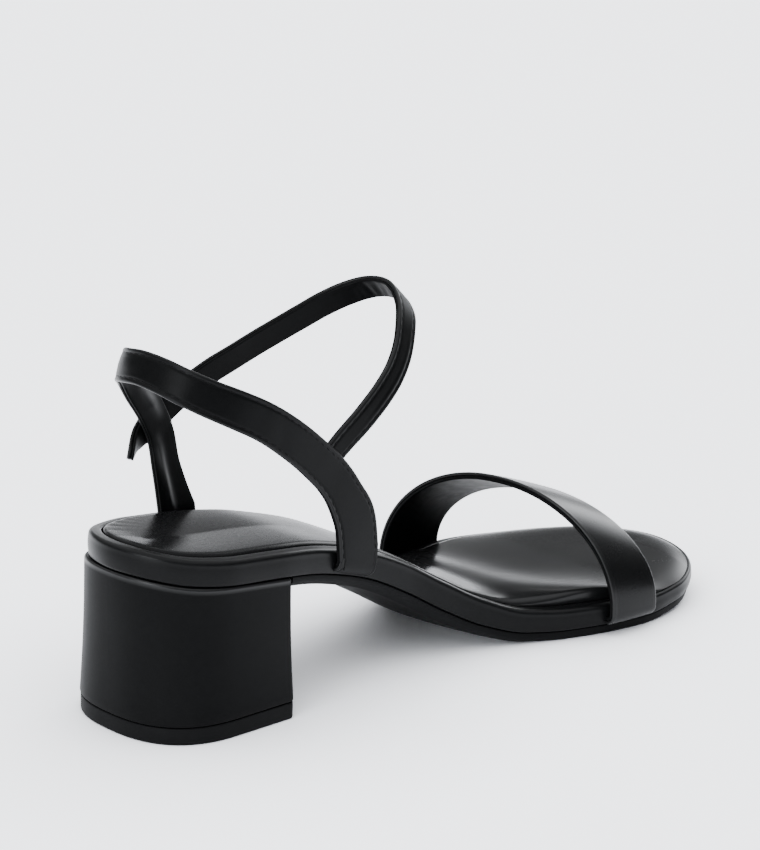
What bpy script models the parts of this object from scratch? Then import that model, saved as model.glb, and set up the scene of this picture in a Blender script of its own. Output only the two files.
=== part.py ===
# Open-toe block-heel sandal, left foot, in metres.
# +X runs to the toe, -Y is the inner side of the foot, +Z is up.
# The origin is on the floor, under the heel's top piece and below the middle of the heel seat.
import math

import bmesh
import bpy
import numpy as np
from mathutils import Vector

# Driving dimensions, in millimetres
FOOTBED_LENGTH = 242.0      # heel back to toe tip, in plan
HEEL_BACK = 30.0            # from the origin back to the footbed's end
BALL_WIDTH = 85.0           # footbed across the ball
HEEL_RISE = 43.5            # footbed's underside at the heel over its height at the ball
RIM_HEIGHT = 8.0            # wrapped rim of the footbed at the heel
RIM_ROUND = 1.8             # rounding of the rim's top edge
OUTSOLE = 3.2               # outsole, at the tread
OUTSOLE_INSET = 1.0         # outsole's edge in from the rim
OUTSOLE_EDGE = 1.5          # upright part of the outsole's edge, at the waist
OUTSOLE_BEVEL = 4.0         # width of the bevel under that edge
TREAD_BEVEL = 1.0           # height and width of that bevel round the tread
OUTSOLE_BELLY = 3.4         # extra depth along the middle of the waist
FOOT_EDGE_IN = 1.2          # width and height of the bevel round the footbed's underside
FOOT_EDGE_UP = 1.0
SOCK_INSET = 4.0            # rim that shows round the sock
SOCK_RECESS = 2.2           # depth of the sock's seat in the footbed
SOCK = 3.0                  # sock, at its edge
SOCK_DISH = 0.9             # hollow of the sock at the heel
SOCK_EDGE_LIFT = 3.6        # how far its inner edge rises at the toe band
SOCK_PAD = 2.4              # cushion behind the ball of the foot
SEAT_LIP = 0.4              # bevel round the top of the sock's seat
SOCK_FOOT = 0.5             # how far its underside stands in from its edge
SOCK_WALL = 0.6             # upright part of its edge
SOCK_ROLL = 1.4             # from its top down to where the rolled edge starts
SOCK_ROLL_TOP = 0.4         # from its top down to the upper part of that roll
HEEL_WIDTH_TOP = 53.6       # heel block under the footbed
HEEL_WIDTH_FOOT = 57.6      # heel block at the floor
HEEL_BREAST = 21.0          # from the origin forward to the block's front
HEEL_TOP_BACK = 29.6        # from the origin to the block's back, under the footbed
HEEL_FOOT_BACK = 28.8       # from the origin to the block's back, at the floor
HEEL_CORNER = 2.5           # rounding of the block's front corners
HEEL_MIDDLE = -0.5          # middle of the block, to the inner side
HEEL_EDGE_IN = 0.6          # bevels round the block's foot and top
HEEL_FOOT_EDGE = 0.6
HEEL_TOP_EDGE = 0.8
TOP_PIECE = 5.4             # rubber top piece
TOP_PIECE_INSET = 0.2       # in from the block's foot
TREAD_EDGE = 0.7            # bevel round the top piece's tread
TOP_PIECE_EDGE = 0.4        # bevel round its upper edge
STRAP = 2.2                 # thickness of the sling and instep straps
SLING_WIDTH = 11.6
INSTEP_WIDTH = 9.4
SLING_RISE = 54.8           # middle of the sling at the back, over the heel seat
INSTEP_RISE = 63.5          # middle of the instep strap at the front, over the heel seat
ANKLE_HALF = 27.0           # half the width between the sling's two sides
BAND = 2.3                  # thickness of the toe band
BAND_RISE_BACK = 37.4       # toe band's rear edge over the rim
BAND_RISE_FRONT = 29.2      # toe band's front edge over the rim
TUCK = 8.0                  # length of a strap's end under the footbed
TUCK_BEND = 2.2             # bend radius of a strap round the rim, at its middle
TUCK_SEAT = 0.55            # a tucked end over the footbed's underside
NOTCH_DEPTH = 2.5           # how far the seats of the tucked ends are cut down past them
WIRE = 1.4                  # buckle wire
BUCKLE_LENGTH = 8.6         # between the middles of the buckle's bars
BUCKLE_ROOM = 1.7           # between the strap's edge and the buckle's side
BUCKLE_CORNER = 1.6
FIT = 0.3                   # gap between neighbouring pieces

MM = 0.001
STATIONS = 44               # along the sole
SPINE_MARGIN = 8.0          # from the end of an outline to the end of its middle line
SEAT_MARGIN = 12.0          # the same for the sock's seat,
SOCK_MARGIN = 16.0          # the sock
HEEL_MARGIN = 12.0          # and the heel
STRAP_STEP = 3.0            # between two sections of a strap
FINE_STEP = 0.2             # the same where a place on a strap is looked up
BEND_STEPS = 5              # sections round a tucked end's bend
TUCK_TAPER = 0.98           # width of a tucked end's tip, share of the end's width

# Places and lengths along the sole, and the sock's and outsole's inner shapes
DISH_AT, DISH_LENGTH = 2.0, 34.0                 # hollow of the sock at the heel
LIFT_AT, LIFT_LENGTH = 0.60, 20.0                # lift of its inner edge; share of the length, then a length
PAD_AT, PAD_BACK, PAD_FRONT = 0.517, 22.0, 14.0  # its cushion; share of the length, then lengths
PAD_SKEW = 0.13                                  # how far the cushion turns for each millimetre across
EDGE_BELLY, QUARTER, QUARTER_BELLY = 0.3, 0.45, 0.85   # shares of the belly at the bevel and further in
HEEL_BULGE = 0.55           # rounded part of the heel block's plan
HEEL_ROUND = {"foot": 2.5, "top": 2.2}           # 2 for an ellipse, more for a squarer plan

# The sole, from the heel to the toe. along: share of FOOTBED_LENGTH. inner, outer: the edge's
# distance from the long axis, share of BALL_WIDTH. lift: the footbed's underside, share of
# HEEL_RISE. rim: share of RIM_HEIGHT. belly: share of OUTSOLE_BELLY.
SOLE_COLUMNS = ("along", "inner", "outer", "lift", "rim", "belly")
SOLE = (
    (0.00, 0.02, -0.02, 1.11, 1.03, 0.5),
    (0.06, 0.29, 0.26, 1.04, 1.02, 0.5),
    (0.12, 0.33, 0.31, 1.00, 1.00, 0.5),
    (0.19, 0.325, 0.315, 0.96, 0.98, 0.5),
    (0.25, 0.305, 0.31, 0.905, 0.99, 0.7),
    (0.31, 0.28, 0.30, 0.813, 1.02, 0.8),
    (0.37, 0.255, 0.295, 0.69, 1.10, 0.9),
    (0.44, 0.25, 0.31, 0.49, 1.19, 1.0),
    (0.50, 0.27, 0.335, 0.29, 1.18, 0.9),
    (0.56, 0.31, 0.375, 0.12, 1.10, 0.6),
    (0.62, 0.37, 0.43, 0.02, 0.98, 0.2),
    (0.68, 0.435, 0.475, 0.00, 0.92, 0.0),
    (0.75, 0.49, 0.50, 0.00, 0.90, 0.0),
    (0.81, 0.51, 0.48, 0.00, 0.88, 0.0),
    (0.87, 0.49, 0.405, 0.02, 0.83, 0.0),
    (0.93, 0.41, 0.295, 0.04, 0.80, 0.0),
    (1.00, 0.05, -0.05, 0.06, 0.78, 0.0),
)

# The straps' middle lines, with the columns x, y, z, width, facing and lean.
# x: share of FOOTBED_LENGTH from the origin. y: share of ANKLE_HALF. z: share of the strap's rise
# over the heel seat. width: share of the strap's width. facing: where the outer face looks, in
# degrees from the toe, the outer side positive. lean: how far that face tips up, in degrees.
SLING_FOOT_INNER = 0.204    # share of FOOTBED_LENGTH from the origin
SLING_FOOT_OUTER = 0.090
SLING_FOOT_WIDTHS = {"inner": 1.62, "outer": 1.24}
SLING = (
    (0.193, -0.93, 0.05, 1.43, -85, 0),
    (0.179, -0.94, 0.16, 1.27, -85, 0),
    (0.166, -0.945, 0.25, 1.19, -85, 0),
    (0.151, -0.95, 0.33, 1.15, -84, 0),
    (0.125, -0.965, 0.437, 1.11, -85, 0),
    (0.077, -0.98, 0.609, 1.08, -88, 2),
    (0.036, -0.96, 0.733, 1.04, -94, 5),
    (-0.001, -0.89, 0.822, 1.01, -107, 8),
    (-0.028, -0.74, 0.885, 0.97, -122, 12),
    (-0.048, -0.54, 0.94, 0.94, -138, 16),
    (-0.060, -0.27, 0.985, 0.92, -158, 20),
    (-0.064, 0.02, 1.00, 0.90, -180, 22),
    (-0.059, 0.30, 0.98, 0.90, -202, 20),
    (-0.042, 0.59, 0.94, 0.90, -220, 16),
    (-0.012, 0.85, 0.86, 0.90, -242, 11),
    (0.017, 0.975, 0.72, 0.89, -260, 6),
    (0.045, 1.04, 0.565, 0.88, -268, 2),
    (0.062, 1.06, 0.42, 0.87, -270, 0),
    (0.072, 1.06, 0.22, 0.90, -270, 0),
    (0.082, 1.06, 0.06, 1.05, -270, 0),
)
INSTEP = (
    (0.137, -0.900, 0.305, 0.88, -86, 0),
    (0.164, -0.90, 0.40, 0.88, -84, 4),
    (0.209, -0.925, 0.535, 0.88, -84, 11),
    (0.241, -0.89, 0.62, 0.88, -80, 16),
    (0.270, -0.81, 0.695, 0.89, -75, 20),
    (0.295, -0.70, 0.78, 0.90, -70, 26),
    (0.315, -0.56, 0.87, 0.91, -63, 34),
    (0.334, -0.37, 0.94, 0.92, -48, 42),
    (0.347, -0.05, 0.999, 0.95, -15, 44),
    (0.343, 0.28, 0.988, 0.98, 20, 40),
    (0.328, 0.50, 0.949, 1.00, 45, 32),
    (0.305, 0.71, 0.887, 1.00, 62, 24),
    (0.280, 0.86, 0.822, 1.00, 74, 18),
    (0.251, 0.97, 0.762, 1.00, 82, 15),
    (0.218, 1.045, 0.705, 1.00, 87, 13),
    (0.182, 1.075, 0.653, 1.00, 89, 12),
    (0.148, 1.11, 0.602, 1.00, 90, 10),
    (0.112, 1.155, 0.528, 1.00, 91, 7),
    (0.082, 1.195, 0.45, 1.00, 92, 4),
    (0.056, 1.20, 0.385, 1.00, 94, 0),
    (0.040, 1.19, 0.34, 0.96, 100, 0),
    (0.031, 1.19, 0.29, 0.90, 118, 0),
    (0.027, 1.21, 0.24, 0.84, 132, 0),
)
BUCKLE_AT = 0.071           # middle of the buckle, share of FOOTBED_LENGTH from the origin

# The toe band. Its edges are arches; x: share of FOOTBED_LENGTH from the origin, skew: how far
# an edge moves back for each millimetre to the outer side. inner, outer: half widths, share of
# BALL_WIDTH. round: 2 for an ellipse, more for a squarer arch.
BAND_BACK = {
    "x": 0.551, "skew": {"inner": 0.29, "outer": 0.20}, "inner": 0.512, "outer": 0.508, "round": 1.98,
}
BAND_FRONT = {
    "x": 0.650, "skew": {"inner": 0.19, "outer": 0.13}, "inner": 0.525, "outer": 0.515, "round": 2.0,
}
BAND_STEPS = 34

PART = "block_heel_sandal"
SIDES = {"inner": -1.0, "outer": 1.0}


# Curves through a table's rows
def through(keys, values, at):
    # A curve through the rows that never overshoots them, so that flats stay flat.
    keys = np.asarray(keys, float)
    values = np.asarray(values, float)
    steps = np.diff(values) / np.diff(keys)
    slopes = np.zeros(len(keys))
    for i in range(1, len(keys) - 1):
        before, after = steps[i - 1], steps[i]
        if before * after > 0:
            slopes[i] = 2 * before * after / (before + after)
    slopes[0], slopes[-1] = steps[0], steps[-1]
    at = np.clip(np.asarray(at, float), keys[0], keys[-1])
    i = np.clip(np.searchsorted(keys, at, side="right") - 1, 0, len(keys) - 2)
    span = keys[i + 1] - keys[i]
    t = (at - keys[i]) / span
    rise = values[i + 1] - values[i]
    start, end = slopes[i] * span, slopes[i + 1] * span
    return hermite(values[i], rise, start, end, t)


def flowing(keys, values, at):
    # A rounder curve through the rows, for the middle line of a strap.
    keys = np.asarray(keys, float)
    values = np.asarray(values, float)
    slopes = np.gradient(values, keys, axis=0)
    i = np.clip(np.searchsorted(keys, at, side="right") - 1, 0, len(keys) - 2)
    span = (keys[i + 1] - keys[i])[:, None]
    t = (at[:, None] - keys[i][:, None]) / span
    rise = values[i + 1] - values[i]
    return hermite(values[i], rise, slopes[i] * span, slopes[i + 1] * span, t)


def hermite(value, rise, start, end, t):
    return value + t * start + t * t * (3 * rise - 2 * start - end) + t ** 3 * (start + end - 2 * rise)


def column(table, columns, name):
    return [row[columns.index(name)] for row in table]


def along_of(x):
    return (x + HEEL_BACK) / FOOTBED_LENGTH


def x_of(along):
    return along * FOOTBED_LENGTH - HEEL_BACK


def turn_of(along):
    # 0 at the heel's end and pi at the toe's, so that both ends come out round.
    return np.arccos(1 - 2 * np.clip(along, 0, 1))


def sole_value(name, x):
    return through(column(SOLE, SOLE_COLUMNS, "along"), column(SOLE, SOLE_COLUMNS, name), along_of(x))


def edge_y(side, x):
    turns = turn_of(np.array(column(SOLE, SOLE_COLUMNS, "along")))
    share = through(turns, column(SOLE, SOLE_COLUMNS, side), turn_of(along_of(x)))
    return SIDES[side] * share * BALL_WIDTH


def underside(x):
    # The footbed's underside, which the outsole and the heel block meet.
    return OUTSOLE + FIT + sole_value("lift", x) * HEEL_RISE


def under_gap(x):
    # The top of what the footbed stands on.
    return underside(x) - FIT


def rim_top(x):
    return underside(x) + sole_value("rim", x) * RIM_HEIGHT


def seat():
    return float(rim_top(0.0))


# Loops and solids
def sole_loop(start=0.0, count=STATIONS):
    # Points of the sole's outline, the inner side from heel to toe and the outer side back.
    turns = np.linspace(float(turn_of(start)), math.pi, count + 1)
    xs = x_of((1 - np.cos(turns)) / 2)
    inner = np.stack([xs, edge_y("inner", xs)], axis=1)
    outer = np.stack([xs, edge_y("outer", xs)], axis=1)
    return np.vstack([inner, outer[::-1]])


def outward(loop, cut_off=False):
    # The outward direction at each point of a closed loop that runs heel, inner side, toe.
    # cut_off: the loop is straight across at its heel end.
    tangent = np.roll(loop, -1, axis=0) - np.roll(loop, 1, axis=0)
    if cut_off:
        tangent[0], tangent[-1] = (1.0, 0.0), (-1.0, 0.0)
    length = np.linalg.norm(tangent, axis=1)
    length[length == 0] = 1
    tangent = tangent / length[:, None]
    return np.stack([tangent[:, 1], -tangent[:, 0]], axis=1)


def inset(loop, distance):
    return loop - outward(loop) * distance


def spine(loop, margin):
    # The middle line under a loop: the two points of a station share one place on it.
    half = len(loop) // 2
    inner, outer = loop[:half], loop[half:][::-1]
    xs = np.clip((inner[:, 0] + outer[:, 0]) / 2, loop[:, 0].min() + margin, loop[:, 0].max() - margin)
    along = np.argsort(inner[:, 0], kind="stable")
    middle = np.interp(xs, inner[along, 0], ((inner[:, 1] + outer[:, 1]) / 2)[along])
    line = np.stack([xs, middle], axis=1)
    return np.vstack([line, line[::-1]])


def lifted(loop, height):
    # height is a number or a function of x.
    z = height(loop[:, 0]) if callable(height) else np.full(len(loop), float(height))
    return np.column_stack([loop, z])


def finish(bm, name, material):
    bmesh.ops.remove_doubles(bm, verts=bm.verts, dist=1e-6)
    bmesh.ops.dissolve_degenerate(bm, edges=bm.edges, dist=1e-7)
    if bm.calc_volume(signed=True) < 0:
        bmesh.ops.reverse_faces(bm, faces=bm.faces)
    mesh = bpy.data.meshes.new(name)
    bm.to_mesh(mesh)
    bm.free()
    mesh.shade_smooth()
    mesh.set_sharp_from_angle(angle=math.radians(40))
    mesh.materials.append(material)
    piece = bpy.data.objects.new(name, mesh)
    bpy.context.scene.collection.objects.link(piece)
    return piece


def stacked(name, loops, material):
    # A solid skinned over loops of equal count, whose first and last loops close on themselves.
    bm = bmesh.new()
    rings = [[bm.verts.new(Vector(point) * MM) for point in loop] for loop in loops]
    count = len(rings[0])
    for low, high in zip(rings, rings[1:]):
        for i in range(count):
            j = (i + 1) % count
            corners = [low[i], low[j], high[j], high[i]]
            bm.faces.new(corners)
    bmesh.ops.triangulate(bm, faces=bm.faces)
    return finish(bm, name, material)


def swept(name, sections, material):
    # A solid through sections of equal count, closed by a flat face at each end.
    bm = bmesh.new()
    rings = [[bm.verts.new(Vector(point) * MM) for point in section] for section in sections]
    count = len(rings[0])
    for low, high in zip(rings, rings[1:]):
        for i in range(count):
            j = (i + 1) % count
            bm.faces.new([low[i], low[j], high[j], high[i]])
    bm.faces.new(rings[0][::-1])
    bm.faces.new(rings[-1])
    bmesh.ops.triangulate(bm, faces=bm.faces)
    return finish(bm, name, material)


# Materials
def leather(name, colour, roughness, metallic=0.0):
    material = bpy.data.materials.new(name)
    material.use_nodes = True
    shader = material.node_tree.nodes["Principled BSDF"]
    shader.inputs["Base Color"].default_value = (*colour, 1.0)
    shader.inputs["Roughness"].default_value = roughness
    shader.inputs["Metallic"].default_value = metallic
    material.diffuse_color = (*colour, 1.0)
    return material


# The sole's pieces
def make_footbed(material):
    outline = sole_loop()

    def top(drop):
        return lambda x: rim_top(x) - drop

    corner = RIM_ROUND * (1 - math.sqrt(0.5))
    loops = [
        lifted(spine(outline, SPINE_MARGIN), underside),
        lifted(inset(outline, FOOT_EDGE_IN), underside),
        lifted(outline, lambda x: underside(x) + FOOT_EDGE_UP),
        lifted(outline, top(RIM_ROUND)),
        lifted(inset(outline, corner), top(corner)),
        lifted(inset(outline, RIM_ROUND), top(0.0)),
        lifted(inset(outline, SOCK_INSET - SEAT_LIP), top(0.0)),
        lifted(inset(outline, SOCK_INSET), top(SEAT_LIP)),
        lifted(inset(outline, SOCK_INSET), top(SOCK_RECESS)),
        lifted(spine(outline, SEAT_MARGIN), top(SOCK_RECESS)),
    ]
    return stacked("footbed", loops, material)


def sock_floor(x):
    return rim_top(x) - SOCK_RECESS + FIT


def sock_top(x, y, share):
    # share runs from 0 at the sock's edge to 1 on its middle line.
    dish = np.exp(-((x - DISH_AT) / DISH_LENGTH) ** 2) * share ** 1.5
    lift = np.exp(-((x - LIFT_AT * FOOTBED_LENGTH) / LIFT_LENGTH) ** 2) * (y < 0) * (1 - share) ** 2
    fore = x + PAD_SKEW * y - PAD_AT * FOOTBED_LENGTH
    pad = np.exp(-(fore / np.where(fore > 0, PAD_FRONT, PAD_BACK)) ** 2) * (1 - (1 - share) ** 4)
    return sock_floor(x) + SOCK - SOCK_DISH * dish + SOCK_EDGE_LIFT * lift + SOCK_PAD * pad


def make_sock(material):
    edge = inset(sole_loop(), SOCK_INSET + FIT)
    middle = spine(sole_loop(), SOCK_MARGIN)
    loops = [lifted(middle, sock_floor), lifted(inset(edge, SOCK_FOOT), sock_floor)]

    def on_top(share, drop):
        plan = edge + (middle - edge) * share
        z = sock_top(plan[:, 0], plan[:, 1], share) - drop
        return np.column_stack([plan, z])

    loops.append(on_top(0.0, SOCK - SOCK_WALL))
    loops.append(on_top(0.0, SOCK_ROLL))
    loops.append(on_top(0.03, SOCK_ROLL_TOP))
    loops += [on_top(share, 0.0) for share in (0.10, 0.3, 0.6, 1.0)]
    return stacked("insole_sock", loops, material)


def make_outsole(material):
    start = along_of(HEEL_BREAST + FIT)
    outline = sole_loop(start)
    ways = outward(outline, cut_off=True)
    waist = sole_value("belly", outline[:, 0])
    edge = outline - ways * OUTSOLE_INSET
    bevel = edge - ways * (TREAD_BEVEL + (OUTSOLE_BEVEL - TREAD_BEVEL) * waist)[:, None]
    middle = spine(outline, SPINE_MARGIN)

    def floor(x):
        return under_gap(x) - OUTSOLE

    def sunk(share):
        return lambda x: floor(x) - share * OUTSOLE_BELLY * sole_value("belly", x)

    def edge_foot(x):
        waist = sole_value("belly", x)
        return floor(x) + TREAD_BEVEL + (OUTSOLE - OUTSOLE_EDGE - TREAD_BEVEL) * waist

    loops = [
        lifted(middle, under_gap),
        lifted(edge, under_gap),
        lifted(edge, edge_foot),
        lifted(bevel, sunk(EDGE_BELLY)),
        lifted(bevel + (middle - bevel) * QUARTER, sunk(QUARTER_BELLY)),
        lifted(middle, sunk(1.0)),
    ]
    return stacked("outsole", loops, material)


def heel_loop(width, back, roundness, count=26):
    # A D: round at the back, straight at the sides and flat at the front.
    front = HEEL_BREAST
    bulge = HEEL_BULGE * (front + back)
    turns = np.linspace(0, math.pi / 2, count)
    xs = -back + bulge * (1 - np.cos(turns) ** (2 / roundness))
    ys = width / 2 * np.sin(turns) ** (2 / roundness)
    corner = np.linspace(0, math.pi / 2, 5)
    corner_x = front - HEEL_CORNER * (1 - np.sin(corner))
    corner_y = width / 2 - HEEL_CORNER * (1 - np.cos(corner))
    xs = np.concatenate([xs, corner_x])
    ys = np.concatenate([ys, corner_y])
    inner = np.stack([xs, HEEL_MIDDLE - ys], axis=1)
    outer = np.stack([xs, HEEL_MIDDLE + ys], axis=1)
    return np.vstack([inner, outer[::-1]])


def make_heel_block(material):
    foot = heel_loop(HEEL_WIDTH_FOOT, HEEL_FOOT_BACK, HEEL_ROUND["foot"])
    head = heel_loop(HEEL_WIDTH_TOP, HEEL_TOP_BACK, HEEL_ROUND["top"])
    bottom = TOP_PIECE + FIT
    loops = [
        lifted(spine(foot, HEEL_MARGIN), bottom),
        lifted(inset(foot, HEEL_EDGE_IN), bottom),
        lifted(foot, bottom + HEEL_FOOT_EDGE),
        lifted(head, lambda x: under_gap(x) - HEEL_TOP_EDGE),
        lifted(inset(head, HEEL_EDGE_IN), under_gap),
        lifted(spine(head, HEEL_MARGIN), under_gap),
    ]
    return stacked("heel_block", loops, material)


def make_top_piece(material):
    width, back = HEEL_WIDTH_FOOT - 2 * TOP_PIECE_INSET, HEEL_FOOT_BACK - TOP_PIECE_INSET
    foot = heel_loop(width, back, HEEL_ROUND["foot"])
    loops = [
        lifted(spine(foot, HEEL_MARGIN), 0.0),
        lifted(inset(foot, TREAD_EDGE), 0.0),
        lifted(foot, TREAD_EDGE),
        lifted(foot, TOP_PIECE - TOP_PIECE_EDGE),
        lifted(inset(foot, TOP_PIECE_EDGE), TOP_PIECE),
        lifted(spine(foot, HEEL_MARGIN), TOP_PIECE),
    ]
    return stacked("top_piece", loops, material)


# Straps. A station is a place on a strap: its middle, the way across it, the way its outer face
# looks, and half its width.
def unit(vector):
    return vector / np.linalg.norm(vector)


def look(facing, lean):
    turn, tip = math.radians(facing), math.radians(lean)
    return np.array([math.cos(turn) * math.cos(tip), math.sin(turn) * math.cos(tip), math.sin(tip)])


def strap_section(station, thickness, grow=0.0):
    # A flat strip with rolled edges.
    middle, across, out, half = station
    radius = thickness / 2 + grow
    reach = half + grow - radius
    points = []
    for end in (1, -1):
        for step in range(5):
            angle = (step / 4 - 0.5) * math.pi
            w = end * (reach + radius * math.cos(angle))
            h = end * radius * math.sin(angle)
            points.append(middle + across * w + out * h)
    return points


def strap_stations(middles, outs, halves, step=STRAP_STEP):
    # Stations every few millimetres along a curve through the given ones.
    middles = np.array(middles)
    steps = np.linalg.norm(np.diff(middles, axis=0), axis=1)
    keys = np.concatenate([[0.0], np.cumsum(steps)])
    at = np.linspace(0, keys[-1], int(keys[-1] / step) + 1)
    path = flowing(keys, middles, at)
    looks = flowing(keys, np.array(outs), at)
    widths = flowing(keys, np.array(halves)[:, None], at)[:, 0]
    headings = np.gradient(path, at, axis=0)
    stations = []
    for middle, out, half, heading in zip(path, looks, widths, headings):
        across = unit(np.cross(heading, out))
        stations.append((middle, across, unit(np.cross(across, heading)), half))
    return stations


def table_stations(table, rise, width):
    # Middles, outward looks and half widths of a strap's table.
    middles, outs, halves = [], [], []
    for x, y, z, share, facing, lean in table:
        middles.append(np.array([x * FOOTBED_LENGTH, y * ANKLE_HALF, seat() + z * rise]))
        outs.append(look(facing, lean))
        halves.append(share * width / 2)
    return middles, outs, halves


def rim_frame(x, side, half):
    # A stretch of the rim's wall: its middle point, the way out and the way along it.
    places = []
    for d in (-half, 0, half):
        places.append(np.array([x + d, float(edge_y(side, x + d)), float(underside(x + d))]))
    along = unit(places[2] - places[0])
    out = unit(np.array([-along[1], along[0], 0.0]) * SIDES[side])
    middle = (places[0] + places[2]) / 2
    bulge = max(0.0, float(np.dot((places[1] - middle)[:2], out[:2])))
    return middle + out * bulge, out, along


def strap_foot(x, side, half, thickness):
    # The station where a strap comes to lie on the rim's wall, just under the rim's round.
    place, out, along = rim_frame(x, side, half)
    middle = place + out * (FIT + thickness / 2)
    middle[2] = place[2] + float(rim_top(x) - underside(x)) - RIM_ROUND
    return middle, along, out, half


def tucked(station, thickness):
    # From a station on the rim's wall, down the wall, round its foot and under the footbed.
    middle, across, out, half = station
    down = unit(np.cross(across, out))
    if down[2] > 0:
        down = -down
    reach = half * abs(across[0])
    corner = middle
    for _ in range(4):
        x = corner[0] + TUCK_BEND * down[0]
        sole = max(float(underside(x)), float(underside(x - reach) + underside(x + reach)) / 2)
        flush = sole + thickness / 2 + TUCK_SEAT
        corner = middle + down * max((middle[2] - flush - TUCK_BEND) / -down[2], 0.5)
    stations = [(corner, across, out, half)]
    for angle in np.linspace(0, math.pi / 2, BEND_STEPS)[1:]:
        place = corner + TUCK_BEND * (down * math.sin(angle) - out * (1 - math.cos(angle)))
        stations.append((place, across, out * math.cos(angle) + down * math.sin(angle), half))
    last = stations[-1]
    stations.append((last[0] - out * TUCK, across, down, half * TUCK_TAPER))
    return stations


def sling_ends():
    feet = {}
    for side, x in (("inner", SLING_FOOT_INNER), ("outer", SLING_FOOT_OUTER)):
        half = SLING_FOOT_WIDTHS[side] * SLING_WIDTH / 2
        feet[side] = strap_foot(x * FOOTBED_LENGTH, side, half, STRAP)
    return feet


def sling_stations():
    feet = sling_ends()
    middles, outs, halves = table_stations(SLING, SLING_RISE, SLING_WIDTH)
    middles = [feet["inner"][0], *middles, feet["outer"][0]]
    outs = [feet["inner"][2], *outs, feet["outer"][2]]
    halves = [feet["inner"][3], *halves, feet["outer"][3]]
    free = strap_stations(middles, outs, halves)
    starts = tucked(aligned(feet["inner"], free[0]), STRAP)
    ends = tucked(aligned(feet["outer"], free[-1]), STRAP)
    return starts[::-1] + free[1:-1] + ends


def aligned(foot, neighbour):
    # The foot's station with its way across pointing as its neighbour's does.
    middle, across, out, half = foot
    if np.dot(across, neighbour[1]) < 0:
        across = -across
    return middle, across, out, half


def instep_stations(step=STRAP_STEP):
    return strap_stations(*table_stations(INSTEP, INSTEP_RISE, INSTEP_WIDTH), step)


def arch_point(edge, rise, angle):
    # A point of one of the toe band's edges, from the inner side (-90 degrees) to the outer.
    side = "inner" if angle < 0 else "outer"
    power = 2 / edge["round"]
    y = math.copysign(edge[side] * BALL_WIDTH * abs(math.sin(angle)) ** power, angle)
    x = edge["x"] * FOOTBED_LENGTH - edge["skew"][side] * y
    base = float(rim_top(x)) - RIM_ROUND
    return np.array([x, y, base + rise * abs(math.cos(angle)) ** power])


def band_stations():
    middles, acrosses, halves = [], [], []
    for angle in np.linspace(-math.pi / 2, math.pi / 2, BAND_STEPS + 1):
        back = arch_point(BAND_BACK, BAND_RISE_BACK, angle)
        front = arch_point(BAND_FRONT, BAND_RISE_FRONT, angle)
        middles.append((back + front) / 2)
        acrosses.append(unit(front - back))
        halves.append(np.linalg.norm(front - back) / 2)
    headings = np.gradient(np.array(middles), axis=0)
    stations = []
    for middle, across, half, heading in zip(middles, acrosses, halves, headings):
        out = unit(np.cross(across, heading))
        stations.append((middle, across, out, half))
    starts = tucked(stations[0], BAND)
    ends = tucked(stations[-1], BAND)
    return starts[::-1] + stations + ends


def skinned(name, stations, thickness, material):
    return swept(name, [strap_section(station, thickness) for station in stations], material)


def cut(piece, cutter):
    modifier = piece.modifiers.new("cut", "BOOLEAN")
    modifier.object = cutter
    modifier.operation = "DIFFERENCE"
    modifier.solver = "EXACT"


def join(piece, other):
    modifier = piece.modifiers.new("join", "BOOLEAN")
    modifier.object = other
    modifier.operation = "UNION"
    modifier.solver = "EXACT"


def notch_section(station, thickness):
    # A strap's section grown by the fit, and drawn out where it faces down, so that it cuts
    # through the footbed's underside.
    middle, across, out, half = station
    deeper = out * max(0.0, -out[2]) * NOTCH_DEPTH
    points = strap_section(station, thickness, FIT)
    return [point + deeper if np.dot(point - middle, out) > FIT else point for point in points]


def tucked_ends():
    # The straps' four ends, each from the rim's wall to its tip, with its thickness.
    ends = [([foot] + tucked(foot, STRAP), STRAP) for foot in sling_ends().values()]
    band = band_stations()
    reach = BEND_STEPS + 4          # the tuck's sections and three of the band above it
    return ends + [(band[:reach][::-1], BAND), (band[-reach:], BAND)]


def make_notches(footbed):
    # The seats of the straps' ends in the footbed: the ends themselves, grown by the fit.
    cutters = []
    for number, (stations, thickness) in enumerate(tucked_ends()):
        tip, across, out, half = stations[-1]
        beyond = tip + unit(tip - stations[-2][0]) * FIT
        stations = stations[:-1] + [(beyond, across, out, half / TUCK_TAPER)]
        sections = [notch_section(station, thickness) for station in stations]
        cutter = swept(f"notch_{number}", sections, None)
        cutters.append(cutter)
        cut(footbed, cutter)
    return cutters


# Buckle, on the instep strap where it crosses the outer side of the sling
def local_frame(x):
    # Origin on the strap's middle line at x, then the ways along it to the tail, across and out.
    stations = [station for station in instep_stations(FINE_STEP) if station[0][1] > 0]
    i = min(range(1, len(stations) - 1), key=lambda k: abs(stations[k][0][0] - x * FOOTBED_LENGTH))
    middle, across, out, half = stations[i]
    return middle, unit(stations[i + 1][0] - stations[i - 1][0]), across, out


def make_buckle(material):
    middle, along, across, out = local_frame(BUCKLE_AT)
    half_length = BUCKLE_LENGTH / 2
    half_width = INSTEP_WIDTH / 2 + BUCKLE_ROOM + WIRE / 2
    climb = STRAP / 2 + FIT + WIRE / 2
    corner = BUCKLE_CORNER
    points = []
    for u_side, w_side in ((1, 1), (-1, 1), (-1, -1), (1, -1)):
        arc = [math.radians(a) for a in (0, 30, 60, 90)]
        if u_side * w_side < 0:
            arc = arc[::-1]
        for angle in arc:
            u = u_side * (half_length - corner + corner * math.cos(angle))
            w = w_side * (half_width - corner + corner * math.sin(angle))
            points.append(middle + along * u + across * w - out * climb * u / half_length)
    return wire("buckle_frame", points, WIRE / 2, material, cyclic=True)


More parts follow.
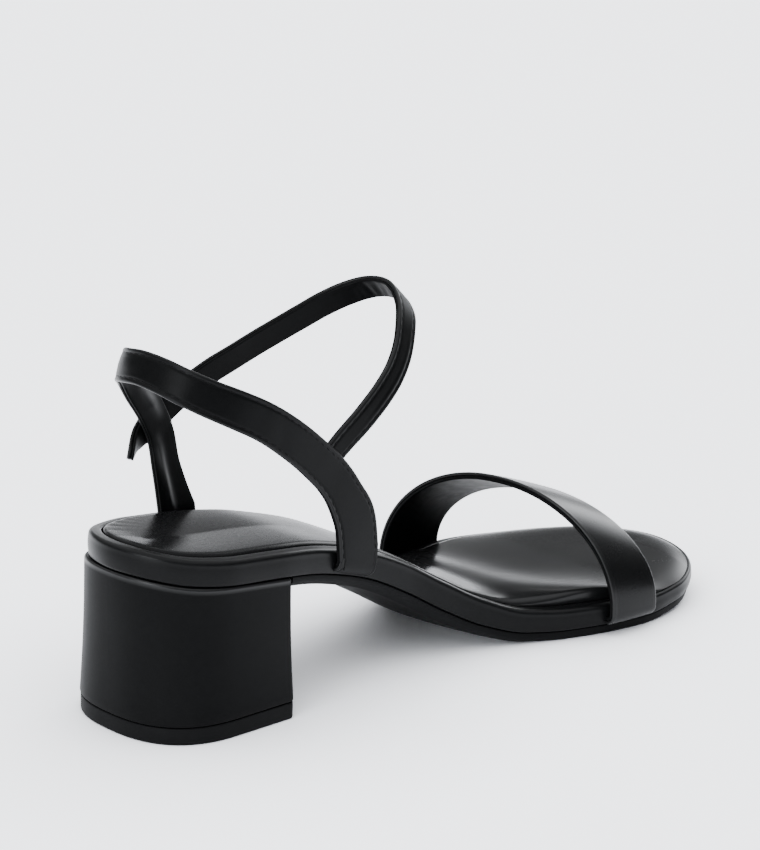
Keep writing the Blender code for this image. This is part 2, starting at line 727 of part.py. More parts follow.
def make_prong(material):
    middle, along, across, out = local_frame(BUCKLE_AT)
    half_length = BUCKLE_LENGTH / 2
    radius = WIRE * 0.4
    low = STRAP / 2 + FIT + radius
    high = STRAP / 2 + 2 * FIT + WIRE + radius
    route = ((0.85, low), (0.3, low), (-0.3, low + 0.2), (-0.75, high - 0.3), (-1.0, high), (-1.2, high))
    points = [middle + along * u * half_length + out * n for u, n in route]
    return wire("buckle_prong", points, radius, material)


def wire(name, points, radius, material, cyclic=False):
    curve = bpy.data.curves.new(name, "CURVE")
    curve.dimensions = "3D"
    curve.bevel_depth = radius * MM
    curve.bevel_resolution = 2
    curve.use_fill_caps = not cyclic
    spline = curve.splines.new("POLY")
    spline.points.add(len(points) - 1)
    for target, point in zip(spline.points, points):
        target.co = (*(point * MM), 1.0)
    spline.use_cyclic_u = cyclic
    curve.materials.append(material)
    piece = bpy.data.objects.new(name, curve)
    bpy.context.scene.collection.objects.link(piece)
    return piece


def clear_scene():
    for piece in list(bpy.data.objects):
        bpy.data.objects.remove(piece, do_unlink=True)


def gather(pieces, name, hidden=False):
    collection = bpy.data.collections.new(name)
    bpy.context.scene.collection.children.link(collection)
    for piece in pieces:
        bpy.context.scene.collection.objects.unlink(piece)
        collection.objects.link(piece)
        if hidden:
            piece.hide_render = True
            piece.display_type = "WIRE"


def main():
    clear_scene()
    footbed = make_footbed(leather("footbed_leather", (0.016, 0.017, 0.018), 0.42))
    cutters = make_notches(footbed)
    strap_leather = leather("strap_leather", (0.015, 0.016, 0.017), 0.40)
    upper = skinned("upper_straps", sling_stations(), STRAP, strap_leather)
    instep = skinned("instep_strap_to_join", instep_stations(), STRAP, strap_leather)
    join(upper, instep)
    cutters.append(instep)
    metal = leather("buckle_metal", (0.05, 0.05, 0.055), 0.3, 1.0)
    pieces = [
        footbed,
        make_sock(leather("sock_leather", (0.02, 0.021, 0.022), 0.36)),
        make_outsole(leather("outsole_rubber", (0.010, 0.010, 0.011), 0.6)),
        make_heel_block(leather("heel_leather", (0.016, 0.017, 0.018), 0.45)),
        make_top_piece(leather("top_piece_rubber", (0.012, 0.012, 0.013), 0.65)),
        upper,
        skinned("toe_band", band_stations(), BAND, leather("band_leather", (0.015, 0.016, 0.017), 0.38)),
        make_buckle(metal),
        make_prong(leather("prong_metal", (0.05, 0.05, 0.055), 0.3, 1.0)),
    ]
    gather(pieces, PART)
    gather(cutters, "cutters", hidden=True)


main()
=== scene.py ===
import math

import bmesh
import bpy
import numpy as np
from mathutils import Matrix, Vector


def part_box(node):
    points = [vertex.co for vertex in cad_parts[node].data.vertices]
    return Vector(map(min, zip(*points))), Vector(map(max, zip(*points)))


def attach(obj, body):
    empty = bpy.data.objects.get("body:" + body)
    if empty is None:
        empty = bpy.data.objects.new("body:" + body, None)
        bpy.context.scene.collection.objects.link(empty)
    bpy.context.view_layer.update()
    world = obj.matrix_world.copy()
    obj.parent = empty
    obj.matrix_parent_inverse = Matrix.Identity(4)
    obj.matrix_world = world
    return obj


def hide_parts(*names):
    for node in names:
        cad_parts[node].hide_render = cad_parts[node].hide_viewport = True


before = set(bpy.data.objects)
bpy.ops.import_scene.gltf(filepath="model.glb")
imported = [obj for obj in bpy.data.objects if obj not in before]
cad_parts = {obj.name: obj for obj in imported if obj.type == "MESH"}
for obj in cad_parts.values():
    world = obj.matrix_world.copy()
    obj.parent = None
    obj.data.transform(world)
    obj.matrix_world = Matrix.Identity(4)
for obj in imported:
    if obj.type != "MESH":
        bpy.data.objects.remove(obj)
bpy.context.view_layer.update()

mm = 0.001
fit = 0.3  # mm between neighbouring pieces
print("frame loaded,", len(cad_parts), "nodes")


def placed(name, data):
    made = bpy.data.objects.new(name, data)
    bpy.context.scene.collection.objects.link(made)
    return made


def madePlain(guide):
    # The mesh that a guide's curve or modifier gives. The guide itself goes.
    mesh = bpy.data.meshes.new_from_object(guide.evaluated_get(bpy.context.evaluated_depsgraph_get()))
    bpy.data.objects.remove(guide, do_unlink=True)
    return mesh


# Camera, at the photo's angle. It comes before the pieces.
cameraSet = {
    "aim": (90.0, 0.0, 35.0),  # mm
    "azimuth": -44.0,
    "elevation": 16.5,
    "roll": 1.5,
    "right": -5.4,  # mm the eye moves across its own view
    "up": 36.3,
    "distance": 1000.0,
    "focal": 3117.0,  # px, in an image 850 px tall
    "imageHeight": 850.0,
    "sensor": 36.0,
}


def makeCamera(s):
    azimuth, elevation, roll = (math.radians(s[k]) for k in ("azimuth", "elevation", "roll"))
    flat = math.cos(elevation)
    back = Vector((math.sin(azimuth) * flat, -math.cos(azimuth) * flat, math.sin(elevation)))
    level = Vector((math.cos(azimuth), math.sin(azimuth), 0.0))
    upright = back.cross(level)
    right = level * math.cos(roll) + upright * math.sin(roll)
    up = upright * math.cos(roll) - level * math.sin(roll)
    eye = (Vector(s["aim"]) + right * s["right"] + up * s["up"] + back * s["distance"]) * mm
    data = bpy.data.cameras.new("camera")
    data.sensor_width = s["sensor"]
    data.lens = s["sensor"] * s["focal"] / s["imageHeight"]
    data.clip_start, data.clip_end = 0.05, 50.0
    camera = placed("camera", data)
    camera.matrix_world = Matrix.Translation(eye) @ Matrix((right, up, back)).transposed().to_4x4()
    bpy.context.scene.camera = camera


makeCamera(cameraSet)
print("camera placed")


# Shader maths: a socket that takes + - * / and the like, and one method for every other node
class Wire:
    def __init__(self, look, socket):
        self.look, self.socket = look, socket

    def maths(self, operation, *values):
        return self.look.node("ShaderNodeMath", {"operation": operation}, dict(enumerate(values)))

    def __add__(self, other):
        return self.maths("ADD", self, other)

    def __sub__(self, other):
        return self.maths("SUBTRACT", self, other)

    def __mul__(self, other):
        return self.maths("MULTIPLY", self, other)

    def __truediv__(self, other):
        return self.maths("DIVIDE", self, other)

    def __rsub__(self, other):
        return self.maths("SUBTRACT", other, self)

    def __rtruediv__(self, other):
        return self.maths("DIVIDE", other, self)

    __radd__ = __add__
    __rmul__ = __mul__

    def clamped(self):
        return self.maths("MINIMUM", self.maths("MAXIMUM", self, 0.0), 1.0)


class Look:
    def __init__(self, name, **fixed):
        self.material = bpy.data.materials.new(name)
        self.material.use_nodes = True
        self.tree = self.material.node_tree
        self.shader = self.tree.nodes["Principled BSDF"]
        for socket, value in fixed.items():
            self.shader.inputs[socket.replace("_", " ")].default_value = value

    def node(self, kind, settings=None, sockets=None, out=0):
        made = self.tree.nodes.new(kind)
        for key, value in (settings or {}).items():
            setattr(made, key, value)
        for key, value in (sockets or {}).items():
            self.plug(made.inputs[key], value)
        return Wire(self, made.outputs[out])

    def plug(self, socket, value):
        if isinstance(value, Wire):
            self.tree.links.new(value.socket, socket)
        else:
            socket.default_value = value

    def place(self, stretch=(1.0, 1.0, 1.0)):
        spot = self.node("ShaderNodeTexCoord", out="Object")
        return self.node("ShaderNodeMapping", sockets={"Vector": spot, "Scale": stretch})

    def noise(self, size, detail=3.0, stretch=(1.0, 1.0, 1.0), rough=0.55):
        sockets = {"Vector": self.place(stretch), "Scale": 1 / (size * mm)}
        sockets.update({"Detail": detail, "Roughness": rough})
        return self.node("ShaderNodeTexNoise", sockets=sockets)

    def cells(self, size):
        sockets = {"Vector": self.place(), "Scale": 1 / (size * mm)}
        return self.node("ShaderNodeTexVoronoi", {"feature": "SMOOTH_F1"}, sockets)

    def attribute(self, name):
        return self.node("ShaderNodeAttribute", {"attribute_name": name}, out="Fac")

    def blend(self, amount, low, high):
        sockets = {0: amount, 6: (*low, 1.0), 7: (*high, 1.0)}
        return self.node("ShaderNodeMix", {"data_type": "RGBA"}, sockets, out=2)

    def varying(self, colour=None, roughness=None, coat=None, height=None, depth=0.05):
        # Plugs what varies over the surface. depth is in mm.
        for name, value in (("Base Color", colour), ("Roughness", roughness), ("Coat Weight", coat)):
            if value is not None:
                self.plug(self.shader.inputs[name], value)
        if height is not None:
            sockets = {"Strength": 1.0, "Distance": depth * mm, "Height": height}
            bump = self.node("ShaderNodeBump", sockets=sockets)
            self.plug(self.shader.inputs["Normal"], bump)
        return self.material


# Finishes. Grain and pore sizes, and the bump's depth, are in mm.
leatherSets = {
    "strap": {
        "dark": (0.0018, 0.0019, 0.002), "light": (0.0048, 0.005, 0.0052), "gloss": 0.042,
        "rough": 0.34, "vary": 0.10, "grain": 0.55, "pore": 1.6, "depth": 0.03,
    },
    "band": {
        "dark": (0.0024, 0.0025, 0.0026), "light": (0.0058, 0.006, 0.0062), "gloss": 0.11,
        "rough": 0.25, "vary": 0.09, "grain": 0.5, "pore": 2.0, "depth": 0.018,
    },
    "footbed": {
        "dark": (0.0018, 0.0019, 0.002), "light": (0.0046, 0.0048, 0.005), "gloss": 0.065,
        "rough": 0.33, "vary": 0.08, "grain": 0.5, "pore": 1.8, "depth": 0.02,
    },
    "heel": {
        "dark": (0.002, 0.0021, 0.0022), "light": (0.0046, 0.0048, 0.005), "gloss": 0.035,
        "rough": 0.42, "vary": 0.06, "grain": 0.5, "pore": 2.2, "depth": 0.016,
    },
    "sock": {
        "dark": (0.003, 0.0031, 0.0033), "light": (0.0058, 0.006, 0.0063), "gloss": 0.06,
        "rough": 0.27, "vary": 0.07, "grain": 0.45, "pore": 2.4, "depth": 0.009,
    },
}


def leatherLook(name, s):
    look = Look(name, Specular_IOR_Level=s["gloss"], Coat_Roughness=0.34)
    grain = look.cells(s["grain"])
    pores = look.noise(s["pore"], 4.0)
    cloud = look.noise(28.0, 2.0)
    faint = look.noise(7.0, 3.0, (0.35, 1.0, 1.0))
    wornAndSheen = look.attribute("wornAndSheen")  # more than 0 where the leather is rubbed or catches light
    # This attribute lightens the tone, a painted highlight, and adds coat and smoothness, a real gloss.
    tone = (cloud * 0.7 + pores * 0.5 + wornAndSheen * 0.35 - 0.25).clamped()
    colour = look.blend(tone, s["dark"], s["light"])
    roughness = s["rough"] + (faint - 0.5) * s["vary"] + (grain - 0.4) * 0.05 - wornAndSheen * 0.05
    height = grain * 0.5 + pores * 0.35 + faint * 0.6
    return look.varying(colour, roughness, wornAndSheen * 0.25, height, s["depth"])


def liningLook():
    look = Look("lining", Specular_IOR_Level=0.04, Coat_Roughness=0.32)
    grain = look.cells(0.4)
    creases = look.noise(3.2, 4.0, (1.0, 1.0, 0.3))
    folded = look.attribute("wornAndSheen")  # polished along a fold
    colour = look.blend(creases.clamped(), (0.0012, 0.0013, 0.0014), (0.0036, 0.0038, 0.004))
    return look.varying(colour, 0.40 + (creases - 0.5) * 0.2, folded * 0.9, grain * 0.4 + creases, 0.05)


rubberSets = {
    "outsole": {
        "dark": (0.0022, 0.0022, 0.0024), "light": (0.0052, 0.0054, 0.0056), "rough": 0.52, "depth": 0.04,
    },
    "topPiece": {
        "dark": (0.0026, 0.0026, 0.0028), "light": (0.006, 0.0062, 0.0064), "rough": 0.50, "depth": 0.03,
    },
}


def rubberLook(name, s):
    look = Look(name, Specular_IOR_Level=0.04)
    dust = look.noise(5.0, 5.0)
    pits = look.noise(0.35, 2.0)
    scuffs = look.noise(2.4, 4.0, (0.25, 1.0, 1.0), 0.7)
    colour = look.blend((dust * 0.6 + scuffs * 0.5).clamped(), s["dark"], s["light"])
    return look.varying(colour, s["rough"] + (scuffs - 0.5) * 0.16, None, pits * 0.7 + scuffs * 0.5, s["depth"])


def threadLook():
    look = Look("thread", Specular_IOR_Level=0.06)
    twist = look.node("ShaderNodeTexWave", {"bands_direction": "DIAGONAL"}, {
        "Vector": look.place(), "Scale": 1 / (1.1 * mm), "Distortion": 1.5,
    })
    fuzz = look.noise(0.3, 3.0)
    colour = look.blend(twist, (0.0012, 0.0012, 0.0013), (0.0045, 0.0046, 0.0048))
    return look.varying(colour, 0.42 + fuzz * 0.2, None, twist, 0.05)


def metalLook():
    look = Look("buckleMetal", Metallic=1.0)
    brushed = look.noise(0.9, 3.0, (0.2, 1.0, 1.0))
    spots = look.noise(3.5, 3.0)
    colour = look.blend(spots.clamped(), (0.055, 0.056, 0.06), (0.13, 0.132, 0.138))
    return look.varying(colour, 0.2 + brushed * 0.14, None, brushed, 0.01)


looks = {kind: leatherLook(kind + "Leather", s) for kind, s in leatherSets.items()}
looks["lining"] = liningLook()
looks.update({kind: rubberLook(kind + "Rubber", s) for kind, s in rubberSets.items()})
looks["thread"] = threadLook()
looks["metal"] = metalLook()
print("finishes made")


# The sole's form. Lengths in mm; the table's columns are shares of the named sizes.
footLow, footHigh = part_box("footbed")
sole = {
    "length": (footHigh[0] - footLow[0]) / mm,
    "heelBack": -footLow[0] / mm,
    "ballWidth": 85.0,
    "heelRise": 43.5,
    "rimHeight": 8.0,
    "rimRound": 1.8,
    "outsole": 3.2,
    "stations": 170,
}
soleColumns = ("along", "inner", "outer", "lift", "rim", "belly")
soleRows = (
    (0.00, 0.02, -0.02, 1.11, 1.03, 0.5),
    (0.06, 0.29, 0.26, 1.04, 1.02, 0.5),
    (0.12, 0.33, 0.31, 1.00, 1.00, 0.5),
    (0.19, 0.325, 0.315, 0.96, 0.98, 0.5),
    (0.25, 0.305, 0.31, 0.905, 0.99, 0.7),
    (0.31, 0.28, 0.30, 0.813, 1.02, 0.8),
    (0.37, 0.255, 0.295, 0.69, 1.10, 0.9),
    (0.44, 0.25, 0.31, 0.49, 1.19, 1.0),
    (0.50, 0.27, 0.335, 0.29, 1.18, 0.9),
    (0.56, 0.31, 0.375, 0.12, 1.10, 0.6),
    (0.62, 0.37, 0.43, 0.02, 0.98, 0.2),
    (0.68, 0.435, 0.475, 0.00, 0.92, 0.0),
    (0.75, 0.49, 0.50, 0.00, 0.90, 0.0),
    (0.81, 0.51, 0.48, 0.00, 0.88, 0.0),
    (0.87, 0.49, 0.405, 0.02, 0.83, 0.0),
    (0.93, 0.41, 0.295, 0.04, 0.80, 0.0),
    (1.00, 0.05, -0.05, 0.06, 0.78, 0.0),
)
soleColumn = {name: np.array(values) for name, values in zip(soleColumns, zip(*soleRows))}
sideSign = {"inner": -1.0, "outer": 1.0}


def hermite(value, rise, start, end, t):
    return value + t * start + t * t * (3 * rise - 2 * start - end) + t ** 3 * (start + end - 2 * rise)


def through(keys, values, at):  # never overshoots its rows
    steps = np.diff(values) / np.diff(keys)
    slopes = np.zeros(len(keys))
    for i in range(1, len(keys) - 1):
        if steps[i - 1] * steps[i] > 0:
            slopes[i] = 2 * steps[i - 1] * steps[i] / (steps[i - 1] + steps[i])
    slopes[0], slopes[-1] = steps[0], steps[-1]
    at = np.clip(np.asarray(at, float), keys[0], keys[-1])
    i = np.clip(np.searchsorted(keys, at, side="right") - 1, 0, len(keys) - 2)
    span = keys[i + 1] - keys[i]
    t = (at - keys[i]) / span
    return hermite(values[i], values[i + 1] - values[i], slopes[i] * span, slopes[i + 1] * span, t)


def flowing(keys, values, at):  # rounder, for the middle line of a strap or wire
    slopes = np.gradient(values, keys, axis=0)
    i = np.clip(np.searchsorted(keys, at, side="right") - 1, 0, len(keys) - 2)
    span = (keys[i + 1] - keys[i])[:, None]
    t = (at[:, None] - keys[i][:, None]) / span
    return hermite(values[i], values[i + 1] - values[i], slopes[i] * span, slopes[i + 1] * span, t)


def alongOf(x):
    return (x + sole["heelBack"]) / sole["length"]


def turnOf(along):
    return np.arccos(1 - 2 * np.clip(along, 0, 1))


def soleValue(name, x):
    return through(soleColumn["along"], soleColumn[name], alongOf(x))


def edgeY(side, x):
    share = through(turnOf(soleColumn["along"]), soleColumn[side], turnOf(alongOf(x)))
    return sideSign[side] * share * sole["ballWidth"]


def underside(x):
    return sole["outsole"] + fit + soleValue("lift", x) * sole["heelRise"]


def rimTop(x):
    return underside(x) + soleValue("rim", x) * sole["rimHeight"]


def soleOutline(start=0.0):
    turns = np.linspace(float(turnOf(start)), math.pi, sole["stations"] + 1)
    xs = (1 - np.cos(turns)) / 2 * sole["length"] - sole["heelBack"]
    inner = np.stack([xs, edgeY("inner", xs)], axis=1)
    outer = np.stack([xs, edgeY("outer", xs)], axis=1)
    return np.vstack([inner, outer[::-1]])


def outward(loop, cutOff=False):
    # cutOff: the loop is straight across at its heel end, where each side keeps its own direction.
    tangent = np.roll(loop, -1, axis=0) - np.roll(loop, 1, axis=0)
    if cutOff:
        tangent[0] = loop[1] - loop[0]
        tangent[-1] = loop[-1] - loop[-2]
    length = np.linalg.norm(tangent, axis=1)
    length[length == 0] = 1
    tangent = tangent / length[:, None]
    ways = np.stack([tangent[:, 1], -tangent[:, 0]], axis=1)
    if cutOff:
        ways[[0, -1]] = (0.0, -1.0), (0.0, 1.0)
    return ways


def inset(loop, distance):
    return loop - outward(loop) * np.broadcast_to(distance, len(loop))[:, None]


def spine(loop, margin):
    half = len(loop) // 2
    inner, outer = loop[:half], loop[half:][::-1]
    xs = np.clip((inner[:, 0] + outer[:, 0]) / 2, loop[:, 0].min() + margin, loop[:, 0].max() - margin)
    order = np.argsort(inner[:, 0], kind="stable")
    line = np.stack([xs, np.interp(xs, inner[order, 0], ((inner[:, 1] + outer[:, 1]) / 2)[order])], axis=1)
    return np.vstack([line, line[::-1]])


def lifted(loop, z):
    z = z(loop[:, 0]) if callable(z) else np.full(len(loop), float(z))
    return np.column_stack([loop, z])


def skin(name, rings, looksUsed, wornAndSheen=None, lining=None, caps=False, sharp=55.0):
    # A mesh over rings of equal count, in mm. Two lists give a value for each point: how far the leather is
    # glossed and lightened (a painted highlight), and which points are lining.
    bm = bmesh.new()
    wornAndSheenLayer = bm.verts.layers.float.new("wornAndSheen")
    made = []
    for r, ring in enumerate(rings):
        row = [bm.verts.new(Vector(point) * mm) for point in ring]
        if wornAndSheen is not None:
            for vert, value in zip(row, wornAndSheen[r]):
                vert[wornAndSheenLayer] = value
        made.append(row)
    count = len(made[0])
    for low, high in zip(made, made[1:]):
        for i in range(count):
            j = (i + 1) % count
            face = bm.faces.new([low[i], low[j], high[j], high[i]])
            if lining is not None and lining[i] and lining[j]:
                face.material_index = 1
    if caps:
        bm.faces.new(made[0][::-1])
        bm.faces.new(made[-1])
    bmesh.ops.remove_doubles(bm, verts=bm.verts, dist=1e-6)
    bmesh.ops.dissolve_degenerate(bm, edges=bm.edges, dist=1e-7)
    if bm.calc_volume(signed=True) < 0:
        bmesh.ops.reverse_faces(bm, faces=bm.faces)
    return meshPiece(name, bm, looksUsed, sharp)


def meshPiece(name, bm, looksUsed, sharp=55.0):
    mesh = bpy.data.meshes.new(name)
    bm.to_mesh(mesh)
    bm.free()
    mesh.shade_smooth()
    mesh.set_sharp_from_angle(angle=math.radians(sharp))
    for key in looksUsed:
        mesh.materials.append(looks[key])
    return placed(name, mesh)


def hold(piece, slot, *nodes):
    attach(piece, "root")
    if nodes:
        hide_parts(*nodes)


# Where the sock comes flush with the rim, mm along the sole
toeSet = {"from": 148.0, "to": 176.0}


def flush(x):
    t = np.clip((x - toeSet["from"]) / (toeSet["to"] - toeSet["from"]), 0, 1)
    return t * t * (3 - 2 * t)


def quarterRound(radius, steps=6):
    # From the wall up to the top: how far in, and how far below the top.
    turns = np.linspace(0, math.pi / 2, steps)
    return [(radius * (1 - math.cos(t)), radius * (1 - math.sin(t))) for t in turns]


# Footbed: the wrapped platform, with the sock's seat let into its top
footbedSet = {
    "footRound": 0.9,  # lower edge
    "bulge": 0.22,  # the wall's swell
    "sockInset": 4.0,
    "lipRound": 0.7,  # inner edge of the rim's top
    "lip": 0.3,  # how far that edge stands up
    "toeInset": 1.3,  # inset of the sock at the toe
    "toeDrop": 1.0,  # how far the rim's top is lower there
    "toeSharp": 0.45,  # how much smaller the roundings are there
    "toeLip": 0.05,  # share of the lip that is left there
    "recess": 2.2,  # depth of the sock's seat below the rim
    "underIn": 3.0,
    "spineMargin": 8.0, "seatMargin": 12.0,
    "rimWearAndSheen": 0.25, "lipWearAndSheen": 1.0,  # how much the leather is glossed and lightened there, the lightening a painted highlight
}


def sockInset(x):
    return footbedSet["sockInset"] * (1 - flush(x)) + footbedSet["toeInset"] * flush(x)


def makeFootbed(s):
    outline = soleOutline()
    toe = flush(outline[:, 0])
    rim = sole["rimRound"]
    shrink = 1 - toe * s["toeSharp"]
    fade = 1 - toe * (1 - s["toeLip"])
    rings, wornAndSheen = [], []

    def top(x):
        return rimTop(x) - s["toeDrop"] * flush(x)

    def add(ring, varying=0.0):
        rings.append(ring)
        wornAndSheen.append(np.full(len(ring), varying))

    add(lifted(spine(outline, s["spineMargin"]), underside))
    add(lifted(inset(outline, s["underIn"]), underside))
    for dx, dz in reversed(quarterRound(s["footRound"])):
        add(lifted(inset(outline, dx), lambda x, dz=dz: underside(x) + dz))
    for share in (0.2, 0.4, 0.6, 0.8):
        swell = s["bulge"] * math.sin(math.pi * share)
        add(lifted(
            inset(outline, -swell),
            lambda x, t=share: (underside(x) + s["footRound"]) * (1 - t) + (top(x) - rim) * t,
        ))
    # The rim's top edge and the lip are glossed and lightened: a painted highlight.
    for dx, dz in quarterRound(rim, 8):
        ring = lifted(inset(outline, dx * shrink), top)
        ring[:, 2] -= dz * shrink
        add(ring, s["rimWearAndSheen"])
    for dx, dz in reversed(quarterRound(s["lipRound"])):
        ring = lifted(inset(outline, sockInset(outline[:, 0]) - dx * fade), top)
        ring[:, 2] += (s["lip"] - dz) * fade
        add(ring, s["lipWearAndSheen"])
    floor = lambda x: rimTop(x) - s["recess"]
    add(lifted(inset(outline, sockInset(outline[:, 0])), floor))
    add(lifted(spine(outline, s["seatMargin"]), floor))
    hold(skin("footbedWrap", rings, ["footbed"], wornAndSheen), "footbed_leather", "footbed")


# Insole sock: padded, dished at the heel, with a soft rolled edge
sockSet = {
    "thickness": 3.0,
    "edgeRoll": 2.0, "rollDepth": 0.75,  # radius of the rolled edge, and the share of it that it drops
    "crown": 0.5, "crownReach": 9.0,  # rise of the padding from its edge inwards
    "dish": 1.1, "dishAt": 4.0, "dishLength": 34.0, "dishPower": 1.4,
    "pad": 2.4, "padAt": 125.0, "padBack": 22.0, "padFront": 14.0, "padSkew": 0.13,  # behind the ball
    "padSteep": 1.5,
    "lift": 3.6, "liftAt": 0.60, "liftLength": 20.0,  # inner edge, beside the toe band
    "pleatFrom": 2.0, "pleatReach": 7.0,  # soft pleats round the heel, mm from the edge
    "pleatWidth": 2.4, "pleatCentre": 8.0,  # degrees, and the x that they turn about
    "toeCrown": 2.4, "toeReach": 5.0,  # the padding's dome at the toe
    "margin": 16.0,
    "footIn": 0.6, "footUp": 0.5,  # its lower edge
    "toeFit": 0.2,  # share of the gap to the rim that is left there
    "polishAndSheenFrom": 55.0, "polishAndSheenOver": 50.0,  # the ball's leather is glossed and lightened: rubbed smooth, with a painted highlight
    "toePolishAndSheen": 0.5,
}
# Pleats: degrees round the heel, and depth in mm
heelPleats = ((108, 0.05), (119, 0.10), (129, 0.13), (140, 0.15), (151, 0.12), (163, 0.08), (177, 0.05))


def sockHeight(s, x, y, away, share):
    # away: mm from the sock's edge; share: 0 there and 1 on its middle line.
    toe = flush(x)
    proud = s["thickness"] + fit - footbedSet["recess"]
    base = rimTop(x) + proud * (1 - toe) - footbedSet["toeDrop"] * toe
    roll = np.where(away < s["edgeRoll"], 1 - away / s["edgeRoll"], 0.0)
    drop = s["edgeRoll"] * (1 - np.sqrt(1 - roll ** 2)) * s["rollDepth"] * (1 - toe)
    crown = s["crown"] * (1 - toe) * (1 - np.exp(-away / s["crownReach"]))
    crown = crown + s["toeCrown"] * toe * (1 - np.exp(-away / s["toeReach"]))
    fore = x + s["padSkew"] * y - s["padAt"]
    pad = s["pad"] * np.exp(-(fore / np.where(fore > 0, s["padFront"], s["padBack"])) ** 2)
    pad = pad * (1 - np.exp(-away / s["crownReach"] * s["padSteep"]))
    heel = np.exp(-((x - s["dishAt"]) / s["dishLength"]) ** 2)
    lift = np.exp(-((x - s["liftAt"] * sole["length"]) / s["liftLength"]) ** 2) * (y < 0) * (1 - share) ** 2
    turn = np.degrees(np.arctan2(y, x - s["pleatCentre"]))
    near = np.exp(-((away - s["pleatFrom"]) / s["pleatReach"]) ** 2)
    pleat = sum(depth * near * np.exp(-((turn - at) / s["pleatWidth"]) ** 2) for at, depth in heelPleats)
    return base - drop + crown + pad - s["dish"] * heel * share ** s["dishPower"] + s["lift"] * lift - pleat


def makeSock(s):
    outline = soleOutline()
    toe = flush(outline[:, 0])
    edge = inset(outline, sockInset(outline[:, 0]) + fit * (1 - (1 - s["toeFit"]) * toe))
    middle = spine(outline, s["margin"])
    span = np.linalg.norm(middle - edge, axis=1)
    floor = lambda x: rimTop(x) - footbedSet["recess"] + fit
    rings = [lifted(middle, floor), lifted(inset(edge, s["footIn"]), floor)]
    rings.append(lifted(edge, lambda x: floor(x) + s["footUp"]))
    aways = [0.0, 0.06, 0.2, 0.45, 0.8, 1.2, 1.7, 2.3, 3.0, 4.0]
    shares = np.linspace(0, 1, 26)[1:]
    places = [np.minimum(away / span, 1.0) for away in aways]
    start = places[-1]
    places += [start + (1 - start) * share for share in shares]
    for share in places:
        plan = edge + (middle - edge) * share[:, None]
        z = sockHeight(s, plan[:, 0], plan[:, 1], share * span, share)
        rings.append(np.column_stack([plan, z]))
    # The ball and forefoot get gloss and a lighter tone: rubbed polish with a painted highlight.
    polishAndSheen = []
    for ring in rings:
        x = ring[:, 0]
        rubbedAndSheen = np.clip((x - s["polishAndSheenFrom"]) / s["polishAndSheenOver"], 0, 1)
        polishAndSheen.append(rubbedAndSheen * (1 - s["toePolishAndSheen"] * flush(x)))
    piece = skin("sockPad", rings, ["sock"], polishAndSheen)
    hold(piece, "sock_leather", "insole_sock")


# Outsole: thin, with a bevelled and bellied waist
outsoleSet = {
    "inset": 1.0, "edge": 1.5, "bevel": 4.0, "treadBevel": 1.0, "belly": 3.4, "round": 0.35,
    "spineMargin": 8.0, "breast": 21.0,
    "bellyAtBevel": 0.3,  # share of the belly's depth that the bevel reaches
    "bevelBow": 0.85,
    "knee": 0.3, "footKnee": 0.2,  # shares of the rounding where it turns
}


def makeOutsole(s):
    outline = soleOutline(float(alongOf(s["breast"] + fit)))
    ways = outward(outline, True)
    waist = soleValue("belly", outline[:, 0])
    edge = outline - ways * s["inset"]
    bevel = edge - ways * (s["treadBevel"] + (s["bevel"] - s["treadBevel"]) * waist)[:, None]
    middle = spine(outline, s["spineMargin"])
    top = lambda x: underside(x) - fit
    floor = lambda x: top(x) - sole["outsole"]

    def sunk(share):
        return lambda x: floor(x) - share * s["belly"] * soleValue("belly", x)

    def edgeFoot(x):
        room = sole["outsole"] - s["edge"] - s["treadBevel"]
        return floor(x) + s["treadBevel"] + room * soleValue("belly", x)

    r = s["round"]
    rings = [
        lifted(middle, top),
        lifted(edge - ways * r, top),
        lifted(edge - ways * r * s["knee"], lambda x: top(x) - r * s["knee"]),
        lifted(edge, lambda x: top(x) - r),
        lifted(edge, lambda x: edgeFoot(x) + r),
        lifted(edge - ways * r * s["footKnee"], lambda x: edgeFoot(x) + r * s["knee"]),
    ]
    for t in (0.12, 0.4, 0.7, 0.88, 1.0):
        plan = edge + (bevel - edge) * t
        foot = sunk(s["bellyAtBevel"])
        rings.append(lifted(plan, lambda x, t=t: edgeFoot(x) + (foot(x) - edgeFoot(x)) * t ** s["bevelBow"]))
    for t in (0.05, 0.15, 0.3, 0.45, 0.65, 0.85, 1.0):
        share = s["bellyAtBevel"] + (1 - s["bellyAtBevel"]) * math.sin(t * math.pi / 2)
        rings.append(lifted(bevel + (middle - bevel) * t, sunk(share)))
    hold(skin("outsoleSheet", rings, ["outsole"]), "outsole_rubber", "outsole")


# Heel block and its top piece
heelSet = {
    "topWidth": 53.6, "footWidth": 57.6, "topBack": 29.6, "footBack": 28.8, "breast": 21.0, "corner": 2.5,
    "middle": -0.5, "widest": 0.55,  # where the curved back ends, share of the depth
    "topSquare": 2.2, "footSquare": 2.5,  # 2 is an ellipse, more is squarer
    # The block's top edge is glossed and lightened, a painted highlight with some real gloss.
    "topRound": 1.1, "footRound": 0.5, "drawIn": 0.35, "edgeWearAndSheen": 1.6, "wearAndSheenTo": 0.4,
    "topPiece": 5.4, "topPieceInset": 0.2, "liftFootRound": 0.7, "liftTopRound": 0.45,
    "steps": 40, "spineMargin": 12.0,
}


def heelLoop(s, width, back, square):
    bulge = s["widest"] * (s["breast"] + back)
    turns = np.linspace(0, math.pi / 2, s["steps"])
    corner = np.linspace(0, math.pi / 2, 9)[1:]
    curved = -back + bulge * (1 - np.cos(turns) ** (2 / square))
    xs = np.concatenate([curved, s["breast"] - s["corner"] * (1 - np.sin(corner))])
    curved = width / 2 * np.sin(turns) ** (2 / square)
    ys = np.concatenate([curved, width / 2 - s["corner"] * (1 - np.cos(corner))])
    inner = np.stack([xs, s["middle"] - ys], axis=1)
    outer = np.stack([xs, s["middle"] + ys], axis=1)
    return np.vstack([inner, outer[::-1]])


